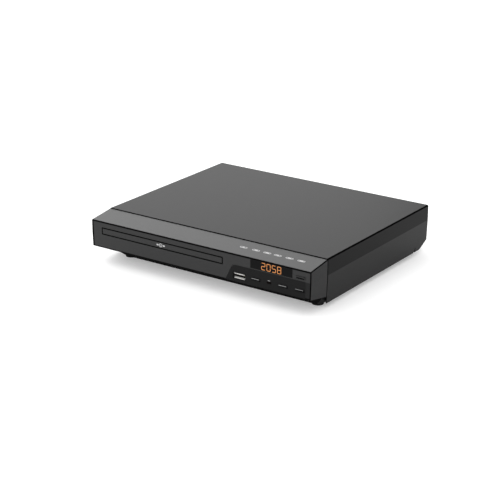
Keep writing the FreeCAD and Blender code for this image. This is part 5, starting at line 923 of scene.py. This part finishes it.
# Painted highlights: the pale lines on the three inlay keys stand for light on their upper edges.
for name, tall, rise, ink in (
    ("play_button", KEY_HIGHLIGHT_TALL, KEY_HIGHLIGHT_RISE, painted_highlight_ink),
    ("stop_button", KEY_HIGHLIGHT_TALL, KEY_HIGHLIGHT_RISE, painted_highlight_ink),
    ("open_button", THIN_HIGHLIGHT_TALL, THIN_HIGHLIGHT_RISE, painted_highlight_ink),
    ("standby_button", SHADE_LINE_TALL, SHADE_LINE_RISE, painted_shade_ink),
):
    low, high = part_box(name)
    middle = (low + high) / 2
    line = pill(BUTTON_LINE_WIDE, tall)
    move(line, middle.x, low.y, middle.z + rise)
    finish_piece(gather(name.replace("button", "line"), [line]), name, ink)


# Printed signs and a glint: a row of plain badges on the bevel and a plain disc sign on the tray's door, in
# pale ink, and a dot of painted highlight over the sensor's window.
BADGE_PLACES = (38.7, 51.0, 62.0, 72.1, 83.5, 94.7)
BADGE_WIDE = 7.2 * MM
BADGE_TALL = 2.3 * MM
BADGE_LINE = 0.55 * MM
BADGE_DASH_SHARES = (0.3, 0.4, 0.5)
BADGE_DASH_TALL = 1.6 * BADGE_LINE
BADGE_FROM_FACE = 13.3 * MM
HOLE_STRETCH = 3.0
GLINT_WIDE = 2.4 * MM
GLINT_TALL = 0.55 * MM
GLINT_RISE = 1.75 * MM
DOOR_SIGN_R = 1.6 * MM
DOOR_DASH_WIDE = 2.3 * MM
DOOR_DASH_TALL = 1.3 * MM
SIGN_WHITE = (0.48, 0.48, 0.48)


def outline_pill(wide, tall, line):
    """A printed outline with round ends."""
    ring = pill(wide, tall)
    hole = pill(wide - 2 * line, tall - 2 * line)
    hole.data.transform(Matrix.Scale(HOLE_STRETCH, 4, (0, 1, 0)))
    cut_away(ring, hole)
    return ring


door_low, door_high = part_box("tray_door")
face_y = door_low.y
badge_y = face_y + BADGE_FROM_FACE
badge_z = face_high_z + BADGE_FROM_FACE * BEVEL_RISE / BEVEL_RUN
badge_turn = Matrix.Rotation(atan2(BEVEL_RISE, BEVEL_RUN) - pi / 2, 4, "X")
badges = []
for number, badge_x in enumerate(BADGE_PLACES):
    ring = outline_pill(BADGE_WIDE, BADGE_TALL, BADGE_LINE)
    dash = pill(BADGE_WIDE * BADGE_DASH_SHARES[number % len(BADGE_DASH_SHARES)], BADGE_DASH_TALL)
    badge = gather("badge", [ring, dash])
    badge.data.transform(Matrix.Translation((badge_x * MM, badge_y, badge_z)) @ badge_turn)
    badges.append(badge)
white_ink = ink_for_print_and_painted_light("white_ink", SIGN_WHITE)
finish_piece(gather("bevel_badges", badges), "base", white_ink)
# Painted highlight: a pale dot where the top edge of the sensor's window catches the light.
low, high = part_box("sensor_window")
middle = (low + high) / 2
dot = pill(GLINT_WIDE, GLINT_TALL)
move(dot, middle.x, face_y, middle.z + GLINT_RISE)
finish_piece(gather("sensor_glint", [dot]), "base", painted_highlight_ink)
sign_parts = [outline_pill(2 * DOOR_SIGN_R, 2 * DOOR_SIGN_R, BADGE_LINE), pill(BADGE_LINE, BADGE_LINE)]
for way_x in (-1, 1):
    dash = pill(DOOR_DASH_WIDE, DOOR_DASH_TALL)
    move(dash, way_x * (DOOR_SIGN_R + DOOR_DASH_WIDE / 2 + BADGE_LINE), 0, 0)
    sign_parts.append(dash)
sign = gather("door_sign", sign_parts)
middle = (door_low + door_high) / 2
move(sign, middle.x, face_y, middle.z)
finish_piece(sign, "tray", white_ink)


# Rear panel: a stamped steel plate, painted black, with cut-outs for the sockets and a row of vents.
# Five blackened screws hold it, three through the cover's flange and two into the pan.
REAR_BLACK = (0.012, 0.012, 0.0125)
REAR_ROUGHNESS = 0.45
REAR_PEEL = 0.5 * MM
REAR_SHINE = 0.25
BLACKED_STEEL = (0.035, 0.035, 0.036)
BLACKED_ROUGHNESS = 0.36
dress(baked_paint("rear_paint", REAR_BLACK, REAR_ROUGHNESS, REAR_PEEL, PEEL_DEPTH, REAR_SHINE), "rear_panel")
black_plate = drawn_metal("black_plate", BLACKED_STEEL, BLACKED_ROUGHNESS, SCREW_LINE, ACROSS)
turn_back = Matrix.Rotation(-pi / 2, 4, "X")
heads = []
for low, high in islands("rear_screws"):
    middle = (low + high) / 2
    heads.append(copy_to(screw, Matrix.Translation((middle.x, high.y - SCREW_HEAD, middle.z)) @ turn_back))
rear_heads = gather("cross_rear_screws", heads)
finish_piece(rear_heads, "base", black_plate)
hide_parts("rear_screws")
bpy.data.objects.remove(screw)


# Cover: one folded steel sheet over the top and sides, with satin black paint, and painted shade with no
# gloss along the folds; below the crease of each side it is a little glossier.
COVER_BLACK = (0.003, 0.003, 0.0031)
COVER_ROUGHNESS = 0.36
COVER_PEEL = 0.5 * MM
COVER_PEEL_DEPTH = 0.004 * MM
COVER_SHINE = 0.05
LOW_SIDE_SHINE = 0.11
CREASE_SOFT = 0.1 * MM
cover_paint = baked_paint(
    "cover_paint", COVER_BLACK, COVER_ROUGHNESS, COVER_PEEL, COVER_PEEL_DEPTH, COVER_SHINE,
)
nodes, links, shader, place = opened(cover_paint)
crease_low = CREASE_Z - CREASE_SOFT
crease_high = CREASE_Z + CREASE_SOFT
shine = ramp_node(
    nodes, links, split(nodes, links, place)["Z"], crease_low, crease_high, LOW_SIDE_SHINE, COVER_SHINE,
)
# Painted shade along the folds: the colour is darkened and the gloss taken away.
painted_fold_shade = rounded_edges(nodes, links, (("X", "Z"),))
shaded_fold_shine = between(nodes, links, painted_fold_shade, 1.0, SHADED_EDGE_SHINE)
links.new(sum_node(nodes, links, "MULTIPLY", shine, shaded_fold_shine), shader.inputs["Specular IOR Level"])
darken(nodes, links, shader, between(nodes, links, painted_fold_shade, 1.0, EDGE_PAINTED_SHADE))
dress(cover_paint, "top_cover")


# Floor: a wide pale sheet of paper under the player, matt, so that it keeps the soft shadow.
# A glow that only the camera and the reflections see brings it up to white.
FLOOR_HALF = 6.0
FLOOR_PALE = (0.8, 0.8, 0.8)
FLOOR_GLOW = 0.3
WHITE = (1.0, 1.0, 1.0, 1.0)
deselect()
bpy.ops.mesh.primitive_plane_add(size=2 * FLOOR_HALF, location=(0, 0, 0))
floor = bpy.context.object
floor.name = "floor"
floor_paper, nodes, links, shader, place = new_finish("floor_paper")
shader.inputs["Base Color"].default_value = (*FLOOR_PALE, 1.0)
shader.inputs["Roughness"].default_value = 1.0
shader.inputs["Specular IOR Level"].default_value = 0.0
rays = nodes.new("ShaderNodeLightPath").outputs
seen = sum_node(
    nodes, links, "MAXIMUM", rays["Is Camera Ray"], rays["Is Glossy Ray"], rays["Is Transmission Ray"],
)
shader.inputs["Emission Color"].default_value = WHITE
links.new(sum_node(nodes, links, "MULTIPLY", seen, FLOOR_GLOW), shader.inputs["Emission Strength"])
floor.data.materials.append(floor_paper)


# Light: a bright room, a little brighter at the front and left, which gives the soft shadow round the base,
# and a soft box behind the left corner, which the bevel and the top reflect.
ROOM_LEVEL = 1.35
ROOM_SWING = 0.7
ROOM_BRIGHT_WAY = Vector((-0.75, -0.66, 0.0))
BOX_AIM = Vector((-0.65, 0.62, 0.46))
BOX_AWAY = 2.4
BOX_WIDE = 1.8
BOX_TALL = 1.3
BOX_POWER = 13.5
world = bpy.data.worlds.new("studio")
bpy.context.scene.world = world
world.use_nodes = True
nodes = world.node_tree.nodes
links = world.node_tree.links
room = nodes["Background"]
room.inputs["Color"].default_value = WHITE
way = nodes.new("ShaderNodeTexCoord").outputs["Generated"]
toward = vector_node(nodes, links, "DOT_PRODUCT", way, ROOM_BRIGHT_WAY)["Value"]
swing = ramp_node(nodes, links, toward, -1.0, 1.0, ROOM_LEVEL - ROOM_SWING, ROOM_LEVEL + ROOM_SWING)
links.new(swing, room.inputs["Strength"])
lamp = bpy.data.lights.new("back_box", "AREA")
lamp.shape = "RECTANGLE"
lamp.size = BOX_WIDE
lamp.size_y = BOX_TALL
lamp.energy = BOX_POWER
soft_box = bpy.data.objects.new("back_box", lamp)
bpy.context.scene.collection.objects.link(soft_box)
soft_box.location = BOX_AIM.normalized() * BOX_AWAY
soft_box.rotation_euler = BOX_AIM.to_track_quat("Z", "Y").to_euler()


# Camera: a long lens, above and to the right of the front.
# Its place, its aim, and its focal length were fitted to the outline of the player.
CAMERA_PLACE = Vector((0.70607, -1.03658, 0.46432))
CAMERA_WAY = Vector((-0.53862, 0.77019, -0.34161))
CAMERA_LENS = 110.93
SENSOR_WIDTH = 36.0
camera = bpy.data.objects.new("camera", bpy.data.cameras.new("camera"))
bpy.context.scene.collection.objects.link(camera)
camera.data.lens = CAMERA_LENS
camera.data.sensor_width = SENSOR_WIDTH
camera.location = CAMERA_PLACE
camera.rotation_euler = CAMERA_WAY.to_track_quat("-Z", "Y").to_euler()
bpy.context.scene.camera = camera
bpy.context.scene.view_settings.view_transform = "Standard"
